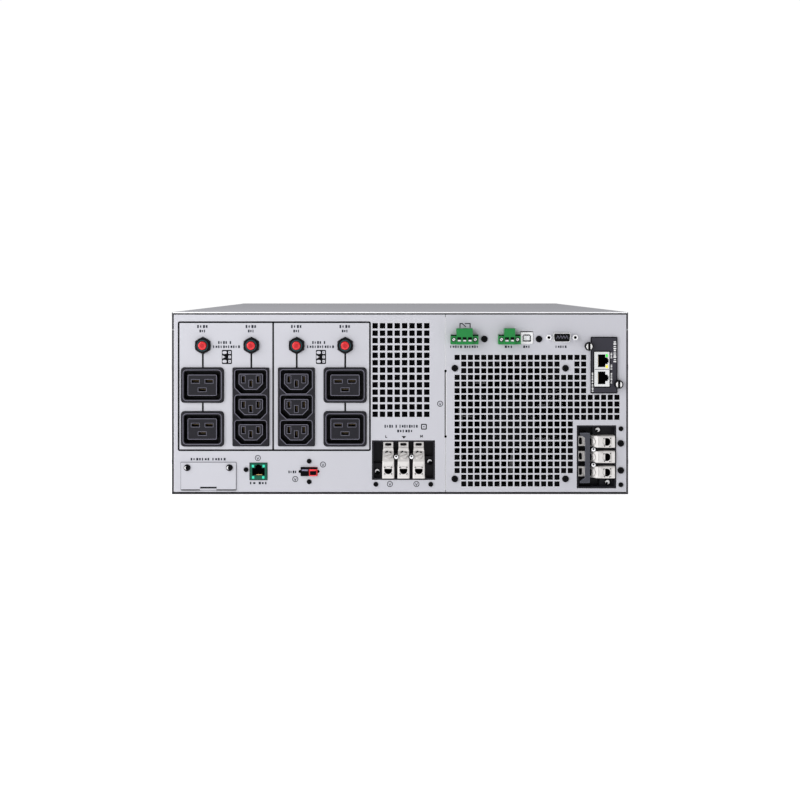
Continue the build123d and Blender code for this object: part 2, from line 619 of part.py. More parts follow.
def usb_shell():
    """Square-bodied bus port with its two upper inside corners cut."""
    x, z = USB_CENTRE
    body = prism(rect((x, z), 11.6, 11.0, 0.8), REAR - 0.9, REAR + 16)
    mouth = Pos(x, z) * Rot(0, 0, 180) * Pos(-x, -z) * cut_corner_outline((x, z), 8.0, 7.0, 1.5, 0.3)
    return body - prism(mouth, REAR - 2, REAR + 12)


def usb_tongue():
    x, z = USB_CENTRE
    tongue = prism(rect((x, z), 5.4, 3.0, 0.4), REAR + 0.6, REAR + 12)
    return tongue


def d_outline(centre, width, height, slant, radius):
    """The D outline of a serial connector, wide side up."""
    x, z, w, h = centre[0], centre[1], width / 2, height / 2
    corners = [(-w, h), (w, h), (w - slant, -h), (-w + slant, -h)]
    face = make_face(Polyline(*[(x + px, z + pz) for px, pz in corners], close=True))
    return fillet(face.vertices(), radius)


def serial_shell():
    """Metal D shell with its flange behind the panel and two hexagonal jack screws."""
    shell = prism(d_outline(SERIAL_CENTRE, 16.9, 8.6, 1.0, 1.9), REAR - 5.0, REAR + 3)
    shell -= prism(d_outline(SERIAL_CENTRE, 16.0, 7.7, 0.9, 1.6), REAR - 6, REAR + 4)
    flange = prism(rect(SERIAL_CENTRE, 30.8, 12.4, 1.0), PANEL_IN, PANEL_IN + 0.9)
    flange -= prism(d_outline(SERIAL_CENTRE, 16.0, 7.7, 0.9, 1.6), REAR - 6, REAR + 4)
    shell += flange
    for side in (-1, 1):
        place = (SERIAL_CENTRE[0] + side * 12.495, SERIAL_CENTRE[1])
        shell += rod(place, 1.65, REAR, PANEL_IN + 4) + prism(hexagon(place, 4.8), REAR - 4.6, REAR)
        shell -= rod(place, 1.4, REAR - 5, REAR + 3)
    return shell


def serial_insert():
    """Moulded contact block of the serial port: five holes over four."""
    x, z = SERIAL_CENTRE
    block = prism(d_outline((x, z), 15.8, 7.5, 0.9, 1.5), REAR - 3.6, REAR + 12)
    for count, dz in ((5, 1.42), (4, -1.42)):
        for k in range(count):
            block -= rod((x + (k - (count - 1) / 2) * 2.77, z + dz), 0.75, REAR - 4, REAR + 4)
    return block


# ---------------------------------------------------------------- network card
CARD_SCREWS = [(178.9, 140.5), (207.0, 104.6)]
CARD_SCREW_SHAFT_R = 1.45
CARD_JACKS_X = (184.2, 198.5)
CARD_JACKS_Z = (102.4, 135.2)


def card_plate():
    """Face plate with an ear under each thumb screw."""
    outline = rect(CARD_CENTRE, 25.4, 53.6, 1.0)
    for x, z in CARD_SCREWS:
        outline += disc((x, z), 3.6)
    holes = rect((sum(CARD_JACKS_X) / 2, sum(CARD_JACKS_Z) / 2), 14.6, 33.1)
    for centre in CARD_SCREWS:
        holes += disc(centre, CARD_SCREW_SHAFT_R + 0.1)
    plate = prism(outline - holes, REAR - 1.6, REAR)
    tab_x = (CARD_JACKS_X[1] + 2.4, CARD_JACKS_X[1] + 5.4)
    for z in (99.2, 143.0):
        plate += slab(tab_x, (REAR, REAR + 9), (z, z + 3))
    return plate


def card_jacks():
    """Two modular jacks in one shielded block, clip sides to the right."""
    x_mid = sum(CARD_JACKS_X) / 2
    z_mid = sum(CARD_JACKS_Z) / 2
    width, height = CARD_JACKS_X[1] - CARD_JACKS_X[0], CARD_JACKS_Z[1] - CARD_JACKS_Z[0]
    body = prism(rect((x_mid, z_mid), width, height, 0.3), REAR - 2.2, REAR + 18)
    for z in (126.8, 110.6):
        body -= prism(rect((CARD_JACKS_X[0] + 6.9, z), 7.0, 12.0), REAR - 3, REAR + 12)
        body -= prism(rect((CARD_JACKS_X[0] + 11.4, z), 2.4, 6.2), REAR - 3, REAR + 12)
        body -= prism(rect((CARD_JACKS_X[0] + 12.9, z), 1.2, 3.4), REAR - 3, REAR + 12)
    return body


def card_board():
    x = CARD_JACKS_X[1] + 0.8
    board = slab((x, x + 1.6), (REAR + 1.5, REAR + 130), (98.6, 146.6))
    for dy, z, length, height in ((40, 108, 22, 22), (72, 126, 14, 14), (70, 104, 30, 8)):
        board += slab((x - 2.0, x), (REAR + dy, REAR + dy + length), (z, z + height))
    return board


def card_thumbscrews():
    """Captive slotted thumb screws with ribbed rims."""
    screws = []
    for x, z in CARD_SCREWS:
        head = rod((x, z), 4.1, REAR - 7.2, REAR - 1.6)
        ribs = [
            disc((x + 4.25 * math.cos(a), z + 4.25 * math.sin(a)), 0.34)
            for a in (2 * math.pi * k / 18 for k in range(18))
        ]
        grooves = ribs[0]
        for rib in ribs[1:]:
            grooves += rib
        head -= prism(grooves, REAR - 8, REAR - 2.4)
        head -= prism(rect((x, z), 2.2, 9.0), REAR - 8, REAR - 5.0)
        screws.append(head + rod((x, z), CARD_SCREW_SHAFT_R, REAR - 1.6, REAR + 5))
    return group(screws)


# ---------------------------------------------------------------- fan
FAN_FRONT = PANEL_IN + 0.1
FAN_BACK = FAN_FRONT + FAN_DEPTH
FAN_HUB_R = 25.0
FAN_BLADES = 7


def fan_frame():
    """Square housing with a round duct and four struts that carry the motor's seat."""
    centre, duct_r = FAN_CENTRE, 58.0
    frame = prism(rect(centre, FAN_SIZE, FAN_SIZE, 4.0), FAN_FRONT, FAN_BACK)
    frame -= rod(centre, duct_r, FAN_FRONT - 1, FAN_BACK + 1)
    waist = rect(centre, FAN_SIZE + 2, FAN_SIZE + 2) - rect(centre, FAN_SIZE - 1, FAN_SIZE - 1)
    waist += rect((centre[0] + 59, centre[1]), 6, 70) + rect((centre[0] - 59, centre[1]), 6, 70)
    frame -= prism(waist - disc(centre, duct_r + 1.2), FAN_FRONT + 5, FAN_BACK - 5)
    seat = disc(centre, FAN_HUB_R)
    for turn in (45, 135):
        seat += Pos(*centre) * Rot(0, 0, turn) * Rectangle(2 * duct_r + 2, 5)
    frame += prism(seat, FAN_FRONT, FAN_FRONT + 4)
    for hole in FAN_SCREWS:
        frame -= rod(hole, LARGE_SCREW["shaft_r"] + 0.1, FAN_FRONT - 1, FAN_BACK + 1)
    frame += rod(centre, 4.0, FAN_FRONT + 4, FAN_BACK - 8)
    return frame


def fan_rotor():
    """Hub shell with seven pitched blades, turning on the frame's post."""
    x, z = FAN_CENTRE
    hub = rod(FAN_CENTRE, FAN_HUB_R - 0.6, FAN_FRONT + 5, FAN_BACK - 2)
    reach = 55.5
    blade = Pos((FAN_HUB_R - 2 + reach) / 2, 0, 0) * Rot(40, 0, 0) * Box(reach - FAN_HUB_R + 4, 30, 2.2)
    blades = []
    for k in range(FAN_BLADES):
        turn = 360 * k / FAN_BLADES
        blades.append(Pos(x, (FAN_FRONT + FAN_BACK) / 2 + 2, z) * Rot(0, turn, 0) * blade)
    swept = rod(FAN_CENTRE, reach, FAN_FRONT + 6, FAN_BACK - 2)
    rotor = hub
    for piece in blades:
        rotor += piece & swept
    return rotor - rod(FAN_CENTRE, 4.05, FAN_FRONT, FAN_BACK - 7)


def panel_screws():
    """Black screws of the rear panels, the blanking plate, the earth points and the fan."""
    screws = [pan_screw(c, REAR, **SMALL_SCREW) for c in SMALL_SCREWS_LEFT + SMALL_SCREWS_RIGHT]
    screws += [pan_screw(c, REAR, **LARGE_SCREW) for c in GROUND_SCREWS]
    screws += [pan_screw(c, REAR - SHEET, **LARGE_SCREW) for c in PORT_COVER_SCREWS]
    screws += [pan_screw(c, REAR, **LARGE_SCREW) for c in FAN_SCREWS]
    return group(screws)


# ---------------------------------------------------------------- electronics
BOARD_Z = 12.4
BOARD_X = (-206.0, 160.0)
BOARD_Y = (REAR + 50, -14.0)
BOARD_STANDOFFS = [
    (x, y) for x in (-198.0, -23.0, 152.0) for y in (BOARD_Y[0] + 8, sum(BOARD_Y) / 2, BOARD_Y[1] - 8)
]


def power_board():
    board = slab(BOARD_X, BOARD_Y, (BOARD_Z, BOARD_Z + 1.6))
    for x in (-24.0, -8.0, 8.0):
        board += slab((x, x + 11), (BOARD_Y[0] + 30, BOARD_Y[0] + 48), (BOARD_Z, BOARD_Z + 16))
    return board


def heatsinks():
    """Two finned extrusions in the fan's air stream."""
    sinks = []
    for x in (58.0, 108.0):
        sink = slab((x, x + 4), (-280, -60), (BOARD_Z + 1.6, 104))
        for k in range(8):
            z = 24 + k * 11
            sink += slab((x + 4, x + 40), (-280, -60), (z, z + 1.8))
        sinks.append(sink)
    return group(sinks)


def bus_capacitors():
    cans = []
    for x in (-30.0, 10.0):
        for k in range(4):
            y = -215 + k * 42
            can = Pos(x, y, BOARD_Z + 1.6 + 26) * Cylinder(17.5, 52)
            can = fillet(can.edges().filter_by(GeomType.CIRCLE).sort_by(Axis.Z)[-1], 1.5)
            cans.append(can)
    return group(cans)


def chokes():
    """Wound toroids lying on the board."""
    rings = []
    for x, y in ((-160, -240), (-90, -240), (-160, -160), (-90, -160), (-160, -80), (-90, -80)):
        ring = Pos(x, y, BOARD_Z + 1.6 + 15) * (Cylinder(31, 30) - Cylinder(13, 32))
        rings.append(fillet(ring.edges().filter_by(GeomType.CIRCLE), 4.0))
    return group(rings)


# ---------------------------------------------------------------- front
WINDOW = (-62.0, 14.0, 143.6, 168.8)     # x from, x to, z from, z to
MENU_BUTTONS = {"up": 32.0, "down": 52.0, "enter": 72.0}
MENU_SIZE = (13.0, 8.0)
POWER_BUTTON_X = 104.0
BUTTON_Z = 156.0
POWER_R = 8.0


def control_bezel():
    """Moulded strip over the drawers, with the display's window and the buttons' holes."""
    low, high = STRIP_Z, HEIGHT
    shell = slab((-SIDE, SIDE), (CASE_FRONT, FRONT), (low, high))
    shell = fillet(shell.faces().sort_by(Axis.Y)[-1].edges(), 3.0)
    shell -= slab((-SIDE + 3, SIDE - 3), (CASE_FRONT - 1, FRONT - 3), (low + 3, high - 3))
    x0, x1, z0, z1 = WINDOW
    shell -= slab((x0 - 0.2, x1 + 0.2), (FRONT - 2.0, FRONT + 1), (z0 - 0.2, z1 + 0.2))
    shell -= slab((x0 + 3, x1 - 3), (FRONT - 5, FRONT), (z0 + 2, z1 - 2))
    for x in MENU_BUTTONS.values():
        shell -= slab(hole_span(x, MENU_SIZE[0]), (FRONT - 5, FRONT + 1), hole_span(BUTTON_Z, MENU_SIZE[1]))
    shell -= rod((POWER_BUTTON_X, BUTTON_Z), POWER_R + RUN, FRONT - 5, FRONT + 1)
    for side in (-1, 1):
        for k in range(5):
            z = low + 7.5 + k * 4.6
            span = tuple(sorted((side * 132, side * 206)))
            shell -= slab(span, (FRONT - 5, FRONT + 1), (z, z + 2.4))
    return shell


def hole_span(middle, size):
    return (middle - size / 2 - RUN, middle + size / 2 + RUN)


def display_window():
    x0, x1, z0, z1 = WINDOW
    return slab((x0, x1), (FRONT - 2.0, FRONT - 0.4), (z0, z1))


def display_board():
    """Board behind the control strip, with the display module and the switches."""
    y = FRONT - 14
    board = slab((-90, 124), (y - 1.6, y), (STRIP_Z + 3.6, HEIGHT - 3.6))
    x0, x1, z0, z1 = WINDOW
    board += slab((x0 + 1, x1 - 1), (y, FRONT - 3.3), (z0 + 0.6, z1 - 0.6))
    for x in list(MENU_BUTTONS.values()) + [POWER_BUTTON_X]:
        board += slab((x - 3, x + 3), (y, y + 3.4), (BUTTON_Z - 3, BUTTON_Z + 3))
    return board


def menu_button(x):
    """Key cap with a collar behind the strip and a plunger down to its switch."""
    w, h = MENU_SIZE
    cap = slab((x - w / 2, x + w / 2), (FRONT - 5.4, FRONT + 1.2), (BUTTON_Z - h / 2, BUTTON_Z + h / 2))
    cap = fillet(cap.faces().sort_by(Axis.Y)[-1].edges(), 0.8)
    return cap + slab((x - 2, x + 2), (FRONT - 8.6, FRONT - 5.4), (BUTTON_Z - 2, BUTTON_Z + 2))


def power_button():
    centre = (POWER_BUTTON_X, BUTTON_Z)
    cap = rod(centre, POWER_R, FRONT - 5.4, FRONT + 1.2)
    cap = fillet(cap.edges().filter_by(GeomType.CIRCLE).sort_by(Axis.Y)[-1], 0.9)
    return cap + rod(centre, 2.0, FRONT - 8.6, FRONT - 5.4)


# ---------------------------------------------------------------- battery drawers
TRAY_IN, TRAY_OUT = 3.4, INNER - 2.0     # the right drawer's tray, from the middle out
TRAY_Z = (2.0, 136.0)
TRAY_Y = (8.0, CASE_FRONT)
BATTERY = (97.0, 151.0, 65.0)            # block size across, deep and high as they lie
GRIP = (120.0, 30.0, 16.0)               # pull's pocket: width, height, depth
DRAWER_TOP = STRIP_Z - 0.6


def mirror_to(side, shape):
    return shape if side > 0 else mirror(shape, about=Plane.YZ)


def drawer_tray(side):
    """Open steel tray."""
    tray = slab((TRAY_IN, TRAY_OUT), TRAY_Y, TRAY_Z)
    tray -= slab((TRAY_IN + 1, TRAY_OUT - 1), (TRAY_Y[0] + 1, TRAY_Y[1] - 1), (TRAY_Z[0] + 1, 200))
    notch = [slab((40 + k * 80, 90 + k * 80), (TRAY_Y[0] - 1, TRAY_Y[0] + 2), (90, 200)) for k in (0, 1)]
    return mirror_to(side, tray - group(notch))


def battery_blocks(side):
    """Eight sealed batteries, two layers of two by two, lying on their sides."""
    blocks = []
    for column in (0, 1):
        for row in (0, 1):
            for layer in (0, 1):
                x = TRAY_IN + 4 + column * (BATTERY[0] + 6)
                y = TRAY_Y[0] + 3 + row * (BATTERY[1] + 1)
                z = TRAY_Z[0] + 1 + layer * BATTERY[2]
                block = slab((x, x + BATTERY[0]), (y, y + BATTERY[1]), (z, z + BATTERY[2]))
                block = chamfer(block.edges().filter_by(Axis.Y), 2.0)
                tab = slab((x + BATTERY[0], x + BATTERY[0] + 4), (y + 12, y + 18), (z + 12, z + 13))
                blocks.append(block + tab)
    return mirror_to(side, group(blocks))


def drawer_front(side):
    """Moulded front with louvres, a recessed pull and pockets for the thumb screws."""
    x0, x1 = PANEL_GAP, SIDE
    z0, z1 = 0.8, DRAWER_TOP
    front = slab((x0, x1), (CASE_FRONT, FRONT), (z0, z1))
    front = fillet(front.faces().sort_by(Axis.Y)[-1].edges(), 3.0)
    middle = (x0 + x1) / 2
    pull_z = DRAWER_PULL_Z
    front -= slab((x0 + 3, x1 - 3), (CASE_FRONT - 1, FRONT - 18.5), (z0 + 3, z1 - 3))
    for low, high in ((z0 + 3, pull_z - 19), (pull_z + 19, z1 - 3)):
        front -= slab((x0 + 14, x1 - 14), (FRONT - 19, FRONT - 3), (low, high))
        for k in range(int((high - low - 4) / 6.0)):
            z = low + 3.6 + k * 6.0
            front -= slab((x0 + 18, x1 - 18), (FRONT - 4, FRONT + 1), (z, z + 3.0))
    pocket = slab((middle - GRIP[0] / 2, middle + GRIP[0] / 2), (FRONT - GRIP[2], FRONT + 1),
                  (pull_z - GRIP[1] / 2, pull_z + GRIP[1] / 2))
    front -= fillet(pocket.edges().filter_by(Axis.Y), 4.0)
    bar = slab((middle - GRIP[0] / 2 - 1, middle + GRIP[0] / 2 + 1), (FRONT - 5.5, FRONT - 0.5),
               (pull_z + GRIP[1] / 2 - 10, pull_z + GRIP[1] / 2 + 1))
    front += fillet(bar.edges().filter_by(Axis.X).group_by(Axis.Z)[0], 1.5)
    for x in drawer_screw_xs():
        front -= rod((x, pull_z), 7.0, FRONT - 10, FRONT + 1)
        front -= rod((x, pull_z), 2.2, CASE_FRONT - 1, FRONT)
    return mirror_to(side, front)


DRAWER_PULL_Z = 70.0


def drawer_screw_xs():
    return (PANEL_GAP + 13.0, SIDE - 13.0)


def drawer_thumbscrews(side):
    """Captive thumb screws in the drawer's front."""
    screws = []
    for x in drawer_screw_xs():
        head = rod((x, DRAWER_PULL_Z), 5.4, FRONT - 10, FRONT - 1)
        head = fillet(head.edges().filter_by(GeomType.CIRCLE).sort_by(Axis.Y)[-1], 0.8)
        head -= prism(rect((x, DRAWER_PULL_Z), 1.4, 12), FRONT - 3, FRONT)
        screws.append(head + rod((x, DRAWER_PULL_Z), 2.1, CASE_FRONT + 2, FRONT - 10))
    return mirror_to(side, group(screws))


# ---------------------------------------------------------------- output
def parts():
    made = {
        "chassis_base": chassis_base(),
        "top_cover": top_cover(),
        "rear_panel_left": rear_panel_left(),
        "rear_panel_right": rear_panel_right(),
        "joint_strip": joint_strip(),
        "case_screws": case_screws(),
        "battery_bay": battery_bay(),
        "c19_outlets": c19_outlets(),
        "c13_strips": c13_strips(),
        "outlet_contacts": outlet_contacts(),
        "breaker_bodies": breaker_bodies(),
        "breaker_nuts": breaker_nuts(),
        "battery_port_cover": battery_port_cover(),
        "battery_port_connector": battery_port_connector(),
        "env_jack": env_jack(),
        "module_plug_black": module_plug_half(-1),
        "module_plug_red": module_plug_half(1),
        "panel_screws": panel_screws(),
        "output_terminal_block": at_output(terminal_block()),
        "input_terminal_block": at_input(terminal_block()),
        "terminal_lugs": terminal_lugs(),
        "terminal_screws": terminal_screws(),
        "input_clamp_bar": input_clamp_bar(),
        "header_sockets": header_sockets(),
        "relay_plug": pluggable_terminal(RELAY_CENTRE, 3),
        "epo_plug": pluggable_terminal(EPO_CENTRE, 2),
        "interface_board": interface_board(),
        "usb_shell": usb_shell(),
        "usb_tongue": usb_tongue(),
        "serial_shell": serial_shell(),
        "serial_insert": serial_insert(),
        "card_plate": card_plate(),
        "card_jacks": card_jacks(),
        "card_board": card_board(),
        "card_thumbscrews": card_thumbscrews(),
        "fan_frame": fan_frame(),
        "fan_rotor": fan_rotor(),
        "power_board": power_board(),
        "heatsinks": heatsinks(),
        "bus_capacitors": bus_capacitors(),
        "chokes": chokes(),
        "control_bezel": control_bezel(),
        "display_window": display_window(),
        "display_board": display_board(),
        "power_button": power_button(),
    }
    for number, centre in enumerate(BREAKER_CENTRES, start=1):
        made[f"breaker_button_{number}"] = breaker_button(centre)
    for name, x in MENU_BUTTONS.items():
        made[f"menu_button_{name}"] = menu_button(x)
    for name, side in (("left", -1), ("right", 1)):
        made[f"drawer_tray_{name}"] = drawer_tray(side)
        made[f"drawer_front_{name}"] = drawer_front(side)
        made[f"battery_blocks_{name}"] = battery_blocks(side)
        made[f"drawer_thumbscrews_{name}"] = drawer_thumbscrews(side)
    return made


os.makedirs("parts", exist_ok=True)
for node, shape in parts().items():
    export_step(shape, f"parts/{node}.step")
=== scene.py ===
import bpy
import bmesh
import json
import math
from mathutils import Matrix, Vector


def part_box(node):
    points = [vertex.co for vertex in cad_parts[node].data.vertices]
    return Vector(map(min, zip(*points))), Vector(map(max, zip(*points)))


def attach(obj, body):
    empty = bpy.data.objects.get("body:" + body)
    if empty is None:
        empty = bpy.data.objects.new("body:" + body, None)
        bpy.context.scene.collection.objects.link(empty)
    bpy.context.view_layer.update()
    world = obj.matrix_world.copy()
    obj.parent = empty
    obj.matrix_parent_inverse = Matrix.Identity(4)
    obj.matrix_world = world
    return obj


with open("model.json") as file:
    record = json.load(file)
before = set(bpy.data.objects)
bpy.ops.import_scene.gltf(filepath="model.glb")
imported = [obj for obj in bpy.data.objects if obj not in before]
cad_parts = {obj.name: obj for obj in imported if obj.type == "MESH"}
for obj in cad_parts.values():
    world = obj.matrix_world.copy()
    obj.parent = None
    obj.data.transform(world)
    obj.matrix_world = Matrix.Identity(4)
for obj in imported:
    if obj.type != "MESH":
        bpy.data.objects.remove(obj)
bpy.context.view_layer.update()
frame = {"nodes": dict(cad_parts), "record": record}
nodes = frame["nodes"]
mm = 0.001
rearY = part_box("rear_panel_left")[0].y      # outer face of the rear panels
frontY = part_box("control_bezel")[1].y       # outer face of the front mouldings
rear = {"y": rearY, "out": -1}
front = {"y": frontY, "out": 1}


# shapes drawn on a face: x and z in mm, "out" in mm in front of that face
def faceBox(bm, x, z, out, face=rear):
    ys = [face["y"] + face["out"] * o * mm for o in out]
    low = Vector((min(x) * mm, min(ys), min(z) * mm))
    high = Vector((max(x) * mm, max(ys), max(z) * mm))
    place = Matrix.Translation((low + high) / 2) @ Matrix.Diagonal((*(high - low), 1))
    return bmesh.ops.create_cube(bm, size=1, matrix=place)["verts"]


def faceBlock(bm, centre, size, out, face=rear):
    (x, z), (w, h) = centre, size
    return faceBox(bm, (x - w / 2, x + w / 2), (z - h / 2, z + h / 2), out, face)


def faceSpot(centre, out, face, turn=90):
    place = Matrix.Translation((centre[0] * mm, face["y"] + face["out"] * out * mm, centre[1] * mm))
    return place @ Matrix.Rotation(math.radians(turn), 4, "X")


def faceDisc(bm, centre, radius, out, segments=32, face=rear):
    spot = faceSpot(centre, sum(out) / 2, face, -90 * face["out"])
    return bmesh.ops.create_cone(bm, cap_ends=True, segments=segments, radius1=radius * mm, radius2=radius * mm,
            depth=abs(out[1] - out[0]) * mm, matrix=spot)["verts"]


def turnAbout(bm, verts, centre, degrees, face=rear):
    middle = Vector((centre[0] * mm, face["y"], centre[1] * mm))
    bmesh.ops.rotate(bm, verts=verts, cent=middle, matrix=Matrix.Rotation(math.radians(degrees), 3, "Y"))


def turnedBlock(bm, centre, size, out, degrees):
    turnAbout(bm, faceBlock(bm, centre, size, out), centre, degrees)


def newFaces(bm, before):
    return [f for f in bm.faces if f not in before]


def raiseOutline(bm, flat, width, height, face=rear):
    # a flat face becomes a border of that width, then gets its thickness
    inset = bmesh.ops.inset_region(bm, faces=flat, thickness=width * mm, use_even_offset=True, use_boundary=True)
    bmesh.ops.delete(bm, geom=flat, context="FACES")
    thicken(bm, inset["faces"], height, face)


def thicken(bm, flat, height, face=rear):
    grown = bmesh.ops.extrude_face_region(bm, geom=flat, use_keep_orig=True)["geom"]
    raised = [g for g in grown if isinstance(g, bmesh.types.BMVert)]
    bmesh.ops.translate(bm, verts=raised, vec=(0, face["out"] * height * mm, 0))


def faceRing(bm, centre, radius, width, out, segments=40):
    before = set(bm.faces)
    spot = faceSpot(centre, min(out), rear)
    bmesh.ops.create_circle(bm, cap_ends=True, segments=segments, radius=radius * mm, matrix=spot)
    raiseOutline(bm, newFaces(bm, before), width, abs(out[1] - out[0]))


def roundedPlate(bm, centre, size, radius, out, face=rear):
    before = set(bm.faces)
    spot = faceSpot(centre, min(out), face) @ Matrix.Diagonal((size[0] * mm, size[1] * mm, 1, 1))
    verts = bmesh.ops.create_grid(bm, x_segments=1, y_segments=1, size=0.5, matrix=spot)["verts"]
    bmesh.ops.bevel(bm, geom=verts, offset=radius * mm, affect="VERTICES", segments=5, profile=0.5, material=-1)
    return newFaces(bm, before)


def solidRounded(bm, centre, size, radius, out):
    thicken(bm, roundedPlate(bm, centre, size, radius, out), abs(out[1] - out[0]))


def roundedOutline(bm, centre, size, radius, line, out, face=rear):
    raiseOutline(bm, roundedPlate(bm, centre, size, radius, out, face), line, abs(out[1] - out[0]), face)


def makePiece(name, bm, body, material, bevel=0):
    bmesh.ops.remove_doubles(bm, verts=bm.verts, dist=1e-7)
    bmesh.ops.recalc_face_normals(bm, faces=bm.faces)
    mesh = bpy.data.meshes.new(name)
    bm.to_mesh(mesh)
    bm.free()
    piece = bpy.data.objects.new(name, mesh)
    bpy.context.scene.collection.objects.link(piece)
    mesh.materials.append(material)
    if bevel:
        edge = piece.modifiers.new("edges", "BEVEL")
        edge.width, edge.segments, edge.limit_method, edge.angle_limit = bevel * mm, 2, "ANGLE", math.radians(35)
    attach(piece, body)


# materials: how the two noises share a finish, how the edges that get a painted highlight are found
noise = {"cloudDetail": 5, "fineDetail": 3, "share": 0.35, "depth": 0.00005, "coatRough": 0.12}
edgeHighlightMask = {"samples": 4, "turned": (0.985, 0.8), "grain": (0.3, 0.6), "speckle": (0.75, 1)}


def fill(node, values):
    for name, value in values.items():
        node.inputs[name].default_value = value


def newFinish(name, color, rough, metal=0, specular=0.5, spread=0.06, mottle=0.1, mottleScale=25,
        grain=900, stretch=(1, 1, 1), bump=0.15, coat=0, glow=0, edgeHighlight=None, cut=None):
    # a painted highlight along edges takes the lighter colour given; cut is (from y, to y, colour) of painted shade
    # that darkens a sheet past a depth, over its cut edges, hole walls and inner side, where it stands partly for
    # bare steel
    material = bpy.data.materials.new(name)
    material.use_nodes = True
    tree = material.node_tree
    add, link = tree.nodes.new, tree.links.new
    shader = tree.nodes["Principled BSDF"]
    fill(shader, {"Metallic": metal, "Specular IOR Level": specular, "Coat Weight": coat,
            "Coat Roughness": noise["coatRough"]})
    coords = add("ShaderNodeTexCoord")
    mapping = add("ShaderNodeMapping")
    fill(mapping, {"Scale": stretch})
    link(coords.outputs["Object"], mapping.inputs["Vector"])
    cloud = add("ShaderNodeTexNoise")
    fill(cloud, {"Scale": mottleScale, "Detail": noise["cloudDetail"]})
    link(coords.outputs["Object"], cloud.inputs["Vector"])
    fine = add("ShaderNodeTexNoise")
    fill(fine, {"Scale": grain, "Detail": noise["fineDetail"]})
    link(mapping.outputs["Vector"], fine.inputs["Vector"])
    both = add("ShaderNodeMix")
    both.data_type = "FLOAT"
    fill(both, {"Factor": noise["share"]})
    link(cloud.outputs["Fac"], both.inputs["A"])
    link(fine.outputs["Fac"], both.inputs["B"])
    dim, pale, surface = colourMix(tree, both.outputs["Result"])
    dim.default_value = (*[c * (1 - mottle) for c in color], 1)
    pale.default_value = (*[min(1, c * (1 + mottle)) for c in color], 1)
    if edgeHighlight:
        surface = paintedEdgeHighlight(tree, surface, fine.outputs["Fac"], edgeHighlight)
    if cut:
        surface = bareEdgeAndShade(tree, coords, surface, cut)
    link(surface, shader.inputs["Base Color"])
    gloss = mapRange(tree, fine.outputs["Fac"], (0, 1), (max(0.02, rough - spread), min(1, rough + spread)))
    link(gloss, shader.inputs["Roughness"])
    relief = add("ShaderNodeBump")
    fill(relief, {"Strength": bump, "Distance": noise["depth"]})
    link(fine.outputs["Fac"], relief.inputs["Height"])
    link(relief.outputs["Normal"], shader.inputs["Normal"])
    if glow:
        fill(shader, {"Emission Color": (*color, 1), "Emission Strength": glow})
    return material


def colourMix(tree, factor):
    # the colour sockets of a Mix node are found by type, as its float ones have the same names
    mix = tree.nodes.new("ShaderNodeMix")
    mix.data_type = "RGBA"
    tree.links.new(factor, mix.inputs["Factor"])
    colours = [socket for socket in (*mix.inputs, *mix.outputs) if socket.type == "RGBA"]
    return colours[0], colours[1], colours[2]


def mapRange(tree, value, source, target):
    node = tree.nodes.new("ShaderNodeMapRange")
    fill(node, {"From Min": source[0], "From Max": source[1], "To Min": target[0], "To Max": target[1]})
    tree.links.new(value, node.inputs["Value"])
    return node.outputs["Result"]


def paintedEdgeHighlight(tree, surface, grainValue, edgeHighlight):
    # painted highlight: edges turn paler where the rounded normal parts from the flat one near an edge
    add, link = tree.nodes.new, tree.links.new
    rounded = add("ShaderNodeBevel")
    rounded.samples = edgeHighlightMask["samples"]
    fill(rounded, {"Radius": edgeHighlight["width"] * mm})
    geometry = add("ShaderNodeNewGeometry")
    product = add("ShaderNodeVectorMath")
    product.operation = "DOT_PRODUCT"
    link(rounded.outputs["Normal"], product.inputs[0])
    link(geometry.outputs["True Normal"], product.inputs[1])
    mask = mapRange(tree, product.outputs["Value"], edgeHighlightMask["turned"], (0, edgeHighlight["share"]))
    speckled = add("ShaderNodeMath")
    speckled.operation = "MULTIPLY"
    link(mask, speckled.inputs[0])
    link(mapRange(tree, grainValue, edgeHighlightMask["grain"], edgeHighlightMask["speckle"]), speckled.inputs[1])
    flat, edge, mixed = colourMix(tree, speckled.outputs["Value"])
    link(surface, flat)
    edge.default_value = (*edgeHighlight["color"], 1)
    return mixed


# painted shade: a sheet turns dark past a depth along y, over its cut edges, hole walls and inner side; only at the
# cut edges does it stand partly for bare steel
def bareEdgeAndShade(tree, coords, surface, cut):
    split = tree.nodes.new("ShaderNodeSeparateXYZ")
    tree.links.new(coords.outputs["Object"], split.inputs["Vector"])
    painted, bare, mixed = colourMix(tree, mapRange(tree, split.outputs["Y"], (cut["from"], cut["to"]), (0, 1)))
    tree.links.new(surface, painted)
    bare.default_value = (*cut["color"], 1)
    return mixed


